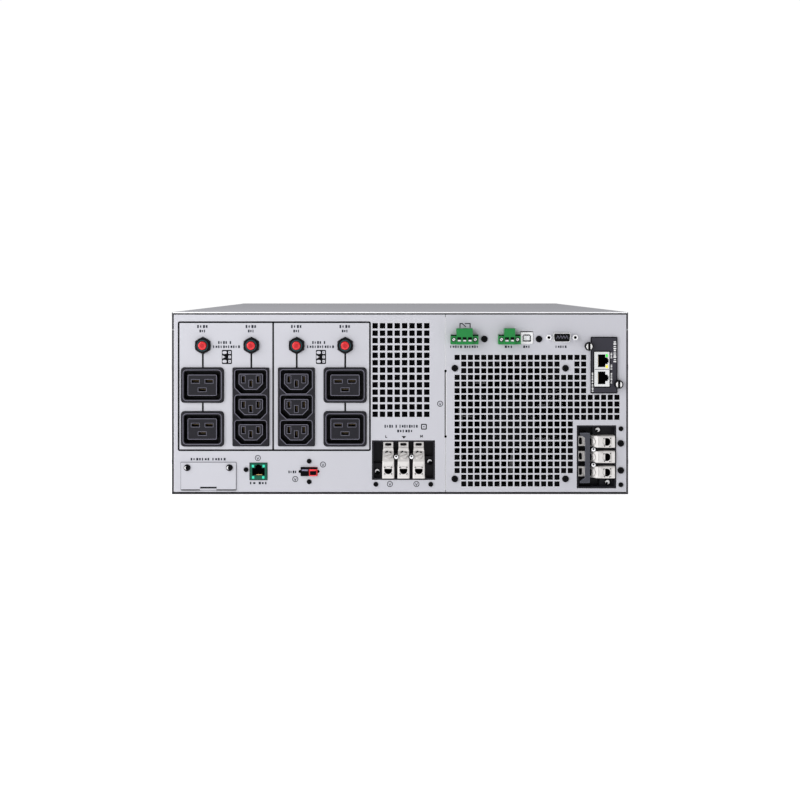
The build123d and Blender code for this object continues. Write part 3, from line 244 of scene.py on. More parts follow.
caseColor = (0.5, 0.5, 0.545)
casePaint = {"color": caseColor, "rough": 0.48, "specular": 0.35, "mottle": 0.045, "mottleScale": 14, "grain": 1500,
        "bump": 0.22}
# painted highlight along the edges of the black mouldings
plasticEdgeHighlight = {"width": 0.35, "share": 0.5, "color": (0.07, 0.068, 0.085)}
finishes = {
    "case_paint": newFinish("casePaint", **casePaint),
    "plated_steel": newFinish("platedSteel", (0.6, 0.61, 0.62), 0.34, metal=1, mottle=0.14, mottleScale=60,
        grain=260, stretch=(1, 6, 6), bump=0.08),
    "case_screw_steel": newFinish("caseScrewSteel", (0.5, 0.5, 0.52), 0.3, metal=1, grain=1200),
    # black mouldings, with a painted highlight along their edges
    "black_moulding": newFinish("blackMoulding", (0.0095, 0.009, 0.0135), 0.45, specular=0.2, mottle=0.3, grain=2200,
        bump=0.12, edgeHighlight=plasticEdgeHighlight),
    # brass darkened as painted shade, for contacts deep in the outlet slots
    "contact_brass": newFinish("shadedContactBrass", (0.1, 0.075, 0.045), 0.4, metal=1, grain=900, mottle=0.3),
    "breaker_red": newFinish("breakerRed", (0.62, 0.008, 0.014), 0.22, mottle=0.08, bump=0.03, coat=0.3),
    "green_moulding": newFinish("greenMoulding", (0.004, 0.195, 0.036), 0.33, specular=0.4, mottle=0.15, bump=0.08),
    "red_moulding": newFinish("redMoulding", (0.6, 0.012, 0.016), 0.35, specular=0.4, mottle=0.12, bump=0.08),
    "black_screw_steel": newFinish("blackOxide", (0.003, 0.003, 0.004), 0.45, specular=0.07, mottle=0.4, grain=1800),
    "nickel_lug": newFinish("nickelLug", (0.68, 0.66, 0.65), 0.34, metal=0.35, mottle=0.04, mottleScale=240,
        grain=700, bump=0.06, spread=0.08),
    "terminal_screw_steel": newFinish("terminalScrewSteel", (0.74, 0.75, 0.76), 0.24, metal=1, grain=900, bump=0.1),
    # the clamp bar's moulding, with a painted highlight along its edges
    "bar_moulding": newFinish("barMoulding", (0.034, 0.036, 0.05), 0.42, mottle=0.2, grain=1500,
        edgeHighlight={"width": 0.9, "share": 0.9, "color": (0.17, 0.18, 0.23)}),
    "circuit_board": newFinish("circuitBoard", (0.012, 0.1, 0.035), 0.35, mottle=0.35, mottleScale=220, grain=1600),
    "shell_steel": newFinish("shellSteel", (0.8, 0.81, 0.82), 0.24, metal=1, mottle=0.06, mottleScale=150, grain=800,
        bump=0.06),
    "port_white": newFinish("portWhite", (0.78, 0.78, 0.74), 0.4, mottle=0.04),
    "port_dark": newFinish("portDark", (0.006, 0.006, 0.007), 0.5, specular=0.12, mottle=0.2),
    "card_face_paint": newFinish("cardFacePaint", (0.028, 0.027, 0.038), 0.45, specular=0.28, mottle=0.08, grain=1700,
        bump=0.2),
    "thumbscrew_steel": newFinish("thumbscrewSteel", (0.82, 0.82, 0.82), 0.18, metal=1, mottle=0.05, grain=900),
    "fan_black": newFinish("fanBlack", (0.002, 0.002, 0.0025), 0.6, specular=0.04, mottle=0.2, grain=1500),
    "heatsink_aluminium": newFinish("heatsinkAluminium", (0.3, 0.3, 0.31), 0.45, metal=1, stretch=(8, 1, 8),
        grain=300),
    "capacitor_sleeve": newFinish("capacitorSleeve", (0.008, 0.01, 0.03), 0.3, mottle=0.15),
    "choke_winding": newFinish("chokeWinding", (0.3, 0.1, 0.03), 0.4, metal=0.6, mottle=0.3, mottleScale=90),
    "front_moulding": newFinish("frontMoulding", (0.02, 0.02, 0.023), 0.46, specular=0.4, mottle=0.12, grain=1900,
        bump=0.25),
    "display_cover": newFinish("displayCover", (0.006, 0.01, 0.022), 0.1, specular=0.6, mottle=0.1, bump=0.01,
        coat=0.5),
    "key_plastic": newFinish("keyPlastic", (0.11, 0.11, 0.12), 0.42, mottle=0.1, grain=1500),
    "battery_case": newFinish("batteryCase", (0.03, 0.03, 0.034), 0.5, mottle=0.15, grain=1300, bump=0.2),
}
ink = newFinish("ink", (0.002, 0.002, 0.003), 0.7, specular=0.06, mottle=0.25, grain=2600, bump=0.05)
fineInk = newFinish("fineInk", (0.022, 0.024, 0.034), 0.6, specular=0.1, mottle=0.25, grain=2600, bump=0.05)
whiteInk = newFinish("whiteInk", (0.75, 0.75, 0.76), 0.5, specular=0.3, mottle=0.06, grain=2600, bump=0.05)
goldPin = newFinish("goldPin", (0.85, 0.6, 0.26), 0.22, metal=1, mottle=0.08)
# the rear panels: painted shade on the hole walls and inner side, painted highlight along the outer edges
panelPaint = newFinish("panelPaint", **casePaint, cut={"from": rearY + 0.0001, "to": rearY + 0.0003,
        "color": (0.02, 0.02, 0.024)}, edgeHighlight={"width": 0.7, "share": 0.8, "color": (0.9, 0.9, 0.93)})
# the chassis and lid: painted shade on the rear edges of the sheets, for the dark gap there
shellPaint = newFinish("shellPaint", **casePaint, cut={"from": rearY + 0.0012, "to": rearY + 0.0004,
        "color": (0.03, 0.03, 0.036)})
# the breaker nuts, with a faint painted highlight along their edges
nutBlack = newFinish("nutBlack", (0.003, 0.003, 0.004), 0.45, specular=0.1, mottle=0.3, grain=1600,
        edgeHighlight={"width": 0.25, "share": 0.5, "color": (0.03, 0.035, 0.045)})
bushGrey = newFinish("bushGrey", (0.012, 0.016, 0.02), 0.4, specular=0.2, mottle=0.2, grain=1600)
bushRing = newFinish("bushRing", (0.006, 0.075, 0.085), 0.35, specular=0.3, mottle=0.2)
buttonCentre = newFinish("buttonCentre", (0.42, 0.006, 0.012), 0.3, specular=0.4, mottle=0.1)
# black of real black parts, also used as painted shade and painted shadow in gaps, holes, slots and recesses
blackAndShade = newFinish("blackAndShade", (0.002, 0.002, 0.003), 0.7, specular=0.05, mottle=0.3)
edgeGleam = newFinish("edgeGleam", (0.15, 0.145, 0.19), 0.4, specular=0.3, mottle=0.15, grain=2200)
bareSteel = newFinish("bareSteel", (0.86, 0.86, 0.88), 0.32, metal=0.4, mottle=0.04, mottleScale=150, grain=800,
        bump=0.06)
jackGreen = newFinish("jackGreen", (0.001, 0.075, 0.042), 0.35, specular=0.3, mottle=0.2, bump=0.08)
# glowing teal for the painted highlights at the green jack's corners
jackTeal = newFinish("jackTeal", (0.02, 0.62, 0.4), 0.25, mottle=0.1, glow=0.12)
# lilac, and red with a glow, for the painted highlights on the module plug's ledges
plugLilac = newFinish("plugLilac", (0.2, 0.19, 0.28), 0.4, mottle=0.15)
plugRed = newFinish("plugRed", (0.8, 0.03, 0.045), 0.35, mottle=0.1, glow=0.1)
# a dark joint line between the card's jacks, also painted shade round the connector cover
shutLineAndShade = newFinish("shutLineAndShade", (0.16, 0.16, 0.185), 0.6, specular=0.2, mottle=0.1)
softShade = newFinish("softShade", (0.5, 0.48, 0.47), 0.4, metal=0.2, mottle=0.06)
displayLight = newFinish("displayLight", (0.3, 0.52, 0.8), 0.3, mottle=0.05, glow=0.35)
lampOn = newFinish("lampOn", (0.05, 0.7, 0.15), 0.25, mottle=0.05, glow=0.4)
lampUnlit = newFinish("lampUnlit", (0.1, 0.1, 0.09), 0.25, mottle=0.05)
# pale paint of labels and the USB tongue, also a painted highlight on the lid's edge and on the seam
palePaintAndHighlight = newFinish("palePaintAndHighlight", (0.85, 0.85, 0.88), 0.5, specular=0.3, mottle=0.03)

ownFinish = {
    "rear_panel_left": panelPaint, "rear_panel_right": panelPaint, "chassis_base": shellPaint,
    "breaker_nuts": nutBlack, "breaker_bodies": bushGrey, "card_thumbscrews": nutBlack, "top_cover": shellPaint,
    "terminal_screws": finishes["nickel_lug"],
    "env_jack": jackGreen, "usb_shell": bareSteel, "serial_shell": bareSteel,
}
for part in frame["record"]["subparts"]:
    node = nodes[part["node"]]
    node.data.materials.clear()
    node.data.materials.append(ownFinish.get(part["node"], finishes[part["material_slot"]]))
print("finishes made:", len(finishes))

# printed marks on the rear panels
inkThick = 0.06
printed = (0, inkThick)
bankFrame = {"x": (-210.1, -28.5), "z": (41.8, 163.3), "divider": -120.4, "line": 1.6, "corner": 1.8}
circuits = {"line": 1.7, "columns": (-187.1, -141.1, -98, -52), "from": 133.2,
        "to": (119.8, 119.5, 119.5, 119.8), "link": (77.5, 88)}


def bankLines():
    bm = bmesh.new()
    b, c = bankFrame, circuits
    middle = (sum(b["x"]) / 2, sum(b["z"]) / 2)
    size = (b["x"][1] - b["x"][0] + b["line"], b["z"][1] - b["z"][0] + b["line"])
    roundedOutline(bm, middle, size, b["corner"], b["line"], printed)
    half = b["line"] / 2
    faceBox(bm, (b["divider"] - half, b["divider"] + half), b["z"], printed)
    half = c["line"] / 2
    for x, low in zip(c["columns"], c["to"]):
        faceBox(bm, (x - half, x + half), (low, c["from"]), printed)
    for x in (c["columns"][0], c["columns"][-1]):
        faceBox(bm, (x - half, x + half), c["link"], printed)
    makePiece("bankLines", bm, "case", ink)


# cells: x, z, width, height, corner; notch: x, width; dots: x, radius
pictogram = {"centres": ((-164.3, 130.3), (-75, 130.3)), "size": (9.6, 13.4), "corner": 1,
        "cells": ((-2.2, 4.2, 4, 2.7, 1.2), (2.6, 4.2, 2.5, 2.7, 0.5), (2.6, 0, 2.5, 2.7, 0.5),
        (-2.2, -4.2, 4, 2.7, 1.2), (2.6, -4.2, 2.5, 2.7, 0.5)),
        "notch": (-3.4, 2.6), "dots": (2.6, 0.4), "rows": (-4.2, 0, 4.2)}


def outletPictograms():
    bm, light = bmesh.new(), bmesh.new()
    p = pictogram
    for x, z in p["centres"]:
        solidRounded(bm, (x, z), p["size"], p["corner"], printed)
        for dx, dz, width, height, corner in p["cells"]:
            solidRounded(light, (x + dx, z + dz), (width, height), corner, (inkThick, inkThick * 2))
        dx, width = p["notch"]
        before = set(light.faces)
        spot = faceSpot((x + dx, z), inkThick, rear) @ Matrix.Rotation(math.radians(-90), 4, "Z")
        bmesh.ops.create_circle(light, cap_ends=True, segments=3, radius=width * 0.75 * mm, matrix=spot)
        thicken(light, newFaces(light, before), inkThick)
        dx, radius = p["dots"]
        for dz in p["rows"]:
            faceDisc(bm, (x + dx, z + dz), radius, (inkThick, inkThick * 2.6), 10)
    makePiece("outletPictograms", bm, "case", ink)
    makePiece("pictogramCells", light, "case", finishes["case_paint"])


# captions are plain rows of ticks where words would be: from x, to x, centre z, ticks in each group, height
captions = [
    *[(x - 5.4, x + 5.6, 159.2, (4,), 2.9) for x in circuits["columns"]],
    *[(x - 3.2, x + 3.3, 154.9, (3,), 2.6) for x in circuits["columns"]],
    (-172.6, -159.3, 144, (4, 1), 2.7), (-177.4, -151.3, 140, (11,), 2.5),
    (-83.3, -70, 144, (4, 1), 2.7), (-88.1, -62, 140, (11,), 2.5),
    (-14.7, 17.4, 64.5, (4, 1, 8), 2.9), (-2.7, 13, 60, (6,), 2.6),
    (47.6, 75.2, 140, (5, 6), 2.3), (99.5, 107.8, 140, (3,), 2.3), (117, 124.3, 140, (3,), 2.3),
    (147.6, 158.7, 140, (5,), 2.3), (-198.7, -164.7, 33.3, (7, 5), 2.4), (-142.4, -125, 10.6, (2, 3), 2.4),
    (-105.9, -97.7, 21.2, (4,), 2.5),
]
ticks = {"heights": (0.5, 0.38, 0.5, 0.44), "widths": (0.7, 0.56, 0.42), "gap": 0.7}


def captionLine(bm, span, z, words, height, upright=None, face=rear):
    pitch = (span[1] - span[0]) / (sum(words) + ticks["gap"] * (len(words) - 1))
    pen = span[0]
    for letters in words:
        for k in range(letters):
            tall = height * ticks["heights"][k % 4]
            wide = pitch * ticks["widths"][(k + letters) % 3]
            if upright is None:
                faceBox(bm, (pen, pen + wide), (z - tall, z + tall), printed, face)
            else:
                faceBox(bm, (upright - tall, upright + tall), (pen, pen + wide), printed, face)
            pen += pitch
        pen += ticks["gap"] * pitch


def rearCaptions():
    bm = bmesh.new()
    for low, high, z, words, height in captions:
        captionLine(bm, (low, high), z, words, height)
    makePiece("rearCaptions", bm, "case", fineInk)


ringMarks = {"centres": ((-134.9, 34.4), (-73.1, 28.2), (-99.4, 14.4), (-9.6, 9.7), (15.6, 9.7), (38.1, 85.9)),
        "radius": 2.8, "line": 0.65, "leg": (0.6, 0.44, 3, 20), "bar": (1.6, 0.4, -0.4)}


def ringMarkSet():
    bm = bmesh.new()
    shift, wide, tall, turn = ringMarks["leg"]
    width, height, drop = ringMarks["bar"]
    for x, z in ringMarks["centres"]:
        faceRing(bm, (x, z), ringMarks["radius"], ringMarks["line"], printed)
        for side in (-1, 1):
            leg = faceBlock(bm, (x + side * shift, z), (wide, tall), printed)
            turnAbout(bm, leg, (x, z), side * turn)
        faceBlock(bm, (x, z + drop), (width, height), printed)
    makePiece("ringMarks", bm, "case", fineInk)


# steps: half width of each bar of the earth mark; step: rise of the first, height, drop to the next
terminalMarks = {"line": (-13.1, 54.7), "earth": (3.7, 54.2), "neutral": (20.4, 55.1), "height": 2.4, "stroke": 0.65,
        "foot": (-0.8, 0.9), "steps": (1.9, 1.4, 0.9, 0.4), "step": (0.4, 0.6, 0.55), "post": 0.9,
        "slant": (1.15, 38)}


def terminalMarkSet():
    bm = bmesh.new()
    t = terminalMarks
    half, stroke = t["height"] / 2, t["stroke"]
    x, z = t["line"]
    low, high = t["foot"]
    faceBox(bm, (x + low, x + low + stroke), (z - half, z + half), printed)
    faceBox(bm, (x + low, x + high), (z - half, z - half + stroke), printed)
    x, z = t["earth"]
    rise, tall, drop = t["step"]
    for row, wide in enumerate(t["steps"]):
        faceBox(bm, (x - wide, x + wide), (z + rise - row * drop, z + rise + tall - row * drop), printed)
    x, z = t["neutral"]
    for side in (-1, 1):
        faceBlock(bm, (x + side * t["post"], z), (stroke, t["height"]), printed)
    stretch, turn = t["slant"]
    turnedBlock(bm, (x, z), (stroke, t["height"] * stretch), printed, turn)
    makePiece("terminalMarks", bm, "case", ink)


outputMark = {"centre": (22.7, 64.1), "size": (5.5, 5.5), "corner": 1, "line": 0.95, "dot": 0.6}
relayMark = {"x": (56.5, 67), "z": (158, 162.4), "line": 0.9, "stubs": (2.4, 5.52),
        "blade": (60.6, 160.6, 5.2, 42)}


def portMarks():
    bm = bmesh.new()
    o, r = outputMark, relayMark
    roundedOutline(bm, o["centre"], o["size"], o["corner"], o["line"], printed)
    faceDisc(bm, o["centre"], o["dot"], printed, 12)
    (left, right), (low, high), line = r["x"], r["z"], r["line"]
    for post, stub in (((left, left + line), (left, left + r["stubs"][0])),
            ((right - line, right), (right - r["stubs"][1], right))):
        faceBox(bm, post, (low, high), printed)
        faceBox(bm, stub, (high - line, high), printed)
    x, z, length, turn = r["blade"]
    turnedBlock(bm, (x, z), (length, line), printed, turn)
    makePiece("portMarks", bm, "case", ink)


bankLines()
outletPictograms()
rearCaptions()
ringMarkSet()
terminalMarkSet()
portMarks()
print("rear marks printed")

# the two pluggable connectors: flange screws, and the mouths the wires enter, darkened with painted shade, as are
# rings round the screws
plugs = {"relay": {"body": "relay_connector", "centre": (60.9, 147.1), "poles": 3},
        "epo": {"body": "epo_connector", "centre": (103.4, 147.1), "poles": 2}}
plugScrews = {"radius": 1.5, "slot": 0.45, "turn": -45, "out": (6.9, 8.3), "ring": (2.2, 0.62, (7.8, 8.55)),
        "pitch": 5.08}
plugMouths = {"lift": 0.2, "mouth": ((3.75, 4.3), (9.9, 10.1)), "drop": -1, "clamp": ((3.1, 1.5), (10.1, 10.6))}


def clipAway(bm, verts, point, normal):
    # cuts a closed shape, keeps what lies against the normal and closes it again
    geom = list(dict.fromkeys(g for v in verts for g in (v, *v.link_edges, *v.link_faces)))
    cutGeom = bmesh.ops.bisect_plane(bm, geom=geom, dist=1e-7, plane_co=point, plane_no=normal, clear_outer=True)
    rim = [g for g in cutGeom["geom_cut"] if isinstance(g, bmesh.types.BMEdge)]
    bmesh.ops.edgeloop_fill(bm, edges=rim)


def screwCheeks(bm, centre, radius, slot, out, turn=0, segments=28):
    # two half-round cheeks with the driver's slot between them
    x, z = centre
    lean = math.radians(turn)
    for side in (-1, 1):
        normal = Vector((-side * math.cos(lean), 0, side * math.sin(lean)))
        point = Vector((x * mm, 0, z * mm)) - normal * slot / 2 * mm
        clipAway(bm, faceDisc(bm, centre, radius, out, segments), point, normal)


def plugTrim(name, plug):
    metal, dark = bmesh.new(), bmesh.new()
    p, m = plugScrews, plugMouths
    x, z = plug["centre"]
    for side in (-1, 1):
        spot = (x + side * (plug["poles"] + 1) / 2 * p["pitch"], z)
        screwCheeks(metal, spot, p["radius"], p["slot"], p["out"], p["turn"])
        radius, width, out = p["ring"]
        faceRing(dark, spot, radius, width, out, 32)
    for k in range(plug["poles"]):
        poleX = x + (k - (plug["poles"] - 1) / 2) * p["pitch"]
        faceBlock(dark, (poleX, z + m["lift"]), *m["mouth"])
        faceBlock(metal, (poleX, z + m["drop"]), *m["clamp"])
    makePiece(name + "PlugScrews", metal, plug["body"], bareSteel, bevel=0.12)
    makePiece(name + "PlugMouthShade", dark, plug["body"], blackAndShade)


for plugName, plug in plugs.items():
    plugTrim(plugName, plug)

envPins = {"x": -134.3, "z": 18.6, "size": (0.44, 0.4), "out": (-9.5, -1.2)}
cardPins = {"x": 188.1, "zs": (126.8, 110.6), "size": (0.4, 0.44), "out": (-9.5, 0.2)}
pinRow = {"pitch": 1.02, "count": 8, "lean": 14}


def leaningPin(bm, centre, size, out, axis):
    pin = faceBlock(bm, centre, size, out)
    root = (centre[0] * mm, rearY - out[1] * mm, centre[1] * mm)
    bmesh.ops.rotate(bm, verts=pin, cent=root, matrix=Matrix.Rotation(math.radians(pinRow["lean"]), 3, axis))


def jackPins():
    e, c = envPins, cardPins
    steps = [(k - (pinRow["count"] - 1) / 2) * pinRow["pitch"] for k in range(pinRow["count"])]
    bm = bmesh.new()
    for step in steps:
        leaningPin(bm, (e["x"] + step, e["z"]), e["size"], e["out"], "X")
    makePiece("envJackPins", bm, "case", goldPin)
    bm = bmesh.new()
    for middle in c["zs"]:
        for step in steps:
            leaningPin(bm, (c["x"], middle + step), c["size"], c["out"], "Z")
    makePiece("cardJackPins", bm, "network_card", goldPin)


jackPins()

cardLamps = {"green": {"z": 131.7, "color": (0.03, 0.75, 0.05)}, "yellow": {"z": 121.3, "color": (0.85, 0.7, 0.02)}}
cardLens = {"x": 196, "size": (2, 2.8), "out": (1.8, 2.45)}
for lampName, lamp in cardLamps.items():
    bm = bmesh.new()
    faceBlock(bm, (cardLens["x"], lamp["z"]), cardLens["size"], cardLens["out"])
    lens = newFinish(lampName + "Lens", lamp["color"], 0.25, mottle=0.1, bump=0.02, glow=0.25)
    makePiece(lampName + "Lamp", bm, "network_card", lens, bevel=0.15)

# x, from z, to z, ticks in each group, height
cardPrint = {"out": 1.6, "lines": ((200.4, 129.2, 134.9, (4,), 1.6), (200.4, 118.5, 123.6, (4,), 1.6),
        (200.4, 105.4, 115.8, (7,), 1.6), (182.6, 97.3, 116, (5, 7), 1.6),
        (203.7, 125.4, 146.1, (10,), 2.6))}
bm = bmesh.new()
face = {"y": rearY - cardPrint["out"] * mm, "out": -1}
for x, low, high, words, height in cardPrint["lines"]:
    captionLine(bm, (low, high), 0, words, height, x, face)
makePiece("cardCaptions", bm, "network_card", whiteInk)

# dark mouldings inside the network jacks: from x, to x, half height of each step of the cavity
cardJackSteps = {"depth": 11.8, "front": 1.9, "wall": 0.2, "back": 0.4,
        "steps": ((187.62, 194.58, 5.98), (194.38, 196.78, 3.08), (196.48, 197.68, 1.68))}
bm = bmesh.new()
c = cardJackSteps
wall, depth = c["wall"], (-c["depth"], c["front"])
for middle in cardPins["zs"]:
    for k, (low, high, half) in enumerate(c["steps"]):
        faceBox(bm, (low, high), (middle - half, middle + half), (-c["depth"], -c["depth"] + c["back"]))
        for side in (-1, 1):
            faceBox(bm, (low, high), (middle + side * half, middle + side * (half - wall)), depth)
            inner = c["steps"][k + 1][2] if k < 2 else 0
            faceBox(bm, (high - wall, high), (middle + side * inner, middle + side * half), depth)
    low, _, half = c["steps"][0]
    faceBox(bm, (low, low + wall), (middle - half, middle + half), depth)
makePiece("cardJackLiners", bm, "network_card", blackAndShade)

# each lug's wire hole: its centres, the painted shade lining its bore and the clamping plate across it
wireHoles = {"radius": 3.72, "shadeWall": 0.15, "front": 2.5, "depth": 7.9, "back": 0.4,
        "plate": 1.35, "plateRadius": 3.52, "plateOut": (-3, 2.3),
        "output": ((-11.2, 23.1), (3.3, 23.1), (17.8, 23.1)),
        "input": ((195.8, 21), (195.8, 35.5), (195.8, 50))}


def wireHoleDetails():
    dark, plates = bmesh.new(), bmesh.new()
    w = wireHoles
    for block, away in (("output", Vector((0, 0, 1))), ("input", Vector((-1, 0, 0)))):
        for centre in w[block]:
            faceRing(dark, centre, w["radius"], w["shadeWall"], (w["front"], -w["depth"]))
            faceDisc(dark, centre, w["radius"] - 0.1, (-w["depth"], -w["depth"] + w["back"]))
            disc = faceDisc(plates, centre, w["plateRadius"], w["plateOut"], 40)
            point = Vector((centre[0] * mm, rearY, centre[1] * mm)) + away * w["plate"] * mm
            clipAway(plates, disc, point, -away)
    makePiece("wireHoleShade", dark, "case", blackAndShade)
    makePiece("wireClampPlates", plates, "case", finishes["nickel_lug"], bevel=0.15)


wireHoleDetails()

thumbFaces = {"centres": ((178.9, 140.5), (207, 104.6)), "radius": 2.95, "slot": 2.3, "out": (7.1, 7.35)}
bm = bmesh.new()
t = thumbFaces
for centre in t["centres"]:
    screwCheeks(bm, centre, t["radius"], t["slot"], t["out"])
makePiece("thumbScrewFaces", bm, "network_card", finishes["thumbscrew_steel"], bevel=0.08)

# black painted shade filling the serial port's jackscrew bores
jackscrewBoreShade = {"centres": ((140.905, 148.9), (165.895, 148.9)), "radius": 1.36, "out": (-1, 1.5), "rim": 4.4}
bm = bmesh.new()
for centre in jackscrewBoreShade["centres"]:
    faceDisc(bm, centre, jackscrewBoreShade["radius"], jackscrewBoreShade["out"], 24)
    faceRing(bm, centre, jackscrewBoreShade["radius"], 0.1, (jackscrewBoreShade["out"][1], jackscrewBoreShade["rim"]), 24)
makePiece("jackscrewBoreShade", bm, "case", blackAndShade)
print("connector details made")

# gleams along the moulded edges of the outlets, and the dark line of painted shadow where each one meets the panel
outletEdges = {
    "squareCentres": ((-187.5, 103.6), (-187.5, 62.1), (-52.1, 103.6), (-52.1, 62.1)),
    "squareRings": ((36.9, 29.6, 3.6, 2.6), (27.5, 19.9, 1.2, 1.9)),        # width, height, corner, out
    "squareSlots": ((-6.5, 3.7), (6.5, 3.7), (0, -4.3)), "squareSlot": (8.3, 4.1, 0.4, 1.9),
    "stripCentres": ((-141.5, 82.9), (-98.3, 82.9)), "pitch": 24,
    "cutRings": ((31, 23.5, 6, 2.9, 2.4), (22.8, 15, 5.5, 1.3, 1.7)),  # width, height, cut, corner, out
    "cutSlots": ((-7, 2.2), (7, 2.2), (0, -1.8)), "cutSlot": (4.1, 7.2, 0.4, 1.7),
    "line": 0.5, "fine": 0.35, "thick": 0.08,
    "squareShadow": ((41.1, 33.8), 3.4), "stripShadow": ((35.2, 74.9), 1.4), "seatLine": 1, "seatOut": (0, 0.1),
}


def cutCornerPlate(bm, centre, size, cut, radius, out):
    # a plate with its lower corners cut off at 45 degrees and its upper ones rounded
    before = set(bm.faces)
    x, z, w, h = centre[0], centre[1], size[0] / 2, size[1] / 2
    corners = ((-w, h), (w, h), (w, -h + cut), (w - cut, -h), (-w + cut, -h), (-w, -h + cut))
    y = rearY - out * mm
    verts = [bmesh.ops.create_vert(bm, co=((x + dx) * mm, y, (z + dz) * mm))["vert"][0] for dx, dz in corners]
    bmesh.ops.contextual_create(bm, geom=verts)
    bmesh.ops.bevel(bm, geom=verts[:2], offset=radius * mm, affect="VERTICES", segments=5, profile=0.5, material=-1)
    return newFaces(bm, before)


def outletGleams():
    bm, seat = bmesh.new(), bmesh.new()
    e = outletEdges
    thick = e["thick"]

    def slotRims(x, z, centres, slot):
        width, height, corner, out = e[slot]
        for dx, dz in e[centres]:
            roundedOutline(bm, (x + dx, z + dz), (width, height), corner, e["fine"], (out, out + thick))

    for x, z in e["squareCentres"]:
        for width, height, corner, out in e["squareRings"]:
            roundedOutline(bm, (x, z), (width, height), corner, e["line"], (out, out + thick))
        slotRims(x, z, "squareSlots", "squareSlot")
        roundedOutline(seat, (x, z), *e["squareShadow"], e["seatLine"], e["seatOut"])
    for x, middle in e["stripCentres"]:
        roundedOutline(seat, (x, middle), *e["stripShadow"], e["seatLine"], e["seatOut"])
        for row in (-1, 0, 1):
            z = middle + row * e["pitch"]
            for width, height, cut, corner, out in e["cutRings"]:
                plate = cutCornerPlate(bm, (x, z), (width, height), cut, corner, out)
                raiseOutline(bm, plate, e["line"], thick)
            slotRims(x, z, "cutSlots", "cutSlot")
    makePiece("outletGleams", bm, "case", edgeGleam)
    makePiece("outletShadowLines", seat, "case", blackAndShade)


outletGleams()

# shut lines of the case, drawn as painted shadow lines and painted highlights: x from, x to, z from, z to, out from,
# out to
shutLines = {
    "lidGapShadow": (blackAndShade, ((-215.2, 215.2, 170.5, 171.85, -1, 0.05),)),
    "lidEdgeHighlight": (palePaintAndHighlight, ((-215.8, 215.8, 171.87, 172.95, 0, 0.05),)),
    "seamShadow": (blackAndShade, ((42.32, 43.25, 55, 116.8, -1.15, -0.5),)),
    "seamHighlight": (palePaintAndHighlight, ((43.35, 44.08, 55, 116.4, -1.15, -0.75), (43, 43.4, 118.4, 168, -1.1, -0.3))),
    "coverShadow": (blackAndShade, ((-207.5, -189.7, 3.75, 4.75, 0, 1.28), (-174, -155.7, 3.75, 4.75, 0, 1.28))),
}
seamEnds = {"centres": ((43.2, 117), (43.2, 54.7)), "radius": 1.15, "out": (-1.1, -0.5)}
# a grey line painted round the foot of the connector cover, for its seam and the painted shade along its edge
coverEdgeShade = {"centre": (-181.7, 17.2), "size": (53.2, 27.1), "corner": 0.8, "line": 0.6}


def boxSet(boxes):
    bm = bmesh.new()
    for x0, x1, z0, z1, low, high in boxes:
        faceBox(bm, (x0, x1), (z0, z1), (low, high))
    return bm
for name, (material, boxes) in shutLines.items():
    bm = boxSet(boxes)
    if name == "seamShadow":
        for centre in seamEnds["centres"]:
            faceDisc(bm, centre, seamEnds["radius"], seamEnds["out"], 20)
    makePiece(name, bm, "case", material)
bm = bmesh.new()
c = coverEdgeShade
roundedOutline(bm, c["centre"], c["size"], c["corner"], c["line"], printed)
makePiece("coverEdgeShade", bm, "case", shutLineAndShade)

# terminal blocks: screw faces, and painted shade for the slots, shadow lines and shading of the lugs
outputLugs = {"xs": (-11.2, 3.3, 17.8), "slotZ": 39.6, "slotOut": (-3.7, -2.2), "dash": (1.45, 0.3, (2.5, 1.24), -20),
        "head": (47, (5.9, 1.9), 0.9, (-6.3, -6.1)), "collar": (43.375, (9.6, 0.35), (-4.4, -4.15))}
# edge is a painted shadow line along the clamp bar, bite a dark mark of painted shade beside each lug, swell an arc
# of painted shade on its face
inputLugs = {"zs": (21, 35.5, 50), "edge": ((179.72, 180.5), (14.6, 56.4), (1.6, 2.2)),
        "head": (171.6, (2.4, 6.6), 1.1, (-6.3, -6.1)), "bite": (180.6, (1.9, 6.2), 0.8, (1.6, 2.2)),
        "swell": (181.4, 7.4, 0.75, (3, 3.1)), "limit": 187.75}
# dark marks of painted shade at the corners of each wire hole; wedge is a grey strip of painted shade beside the
# input holes
lugCornerShade = {"output": ((-3.3, 2.9), (3.3, 2.9), (-3.2, -3.4), (3.2, -3.4)),
        "input": ((-2.7, 3.3), (3.6, 3.3), (-2.1, -3.9), (3, -4.1)), "size": (1.5, 0.8), "out": (2.95, 3.06),
        "wedge": (3.5, 4.9, 2.4)}


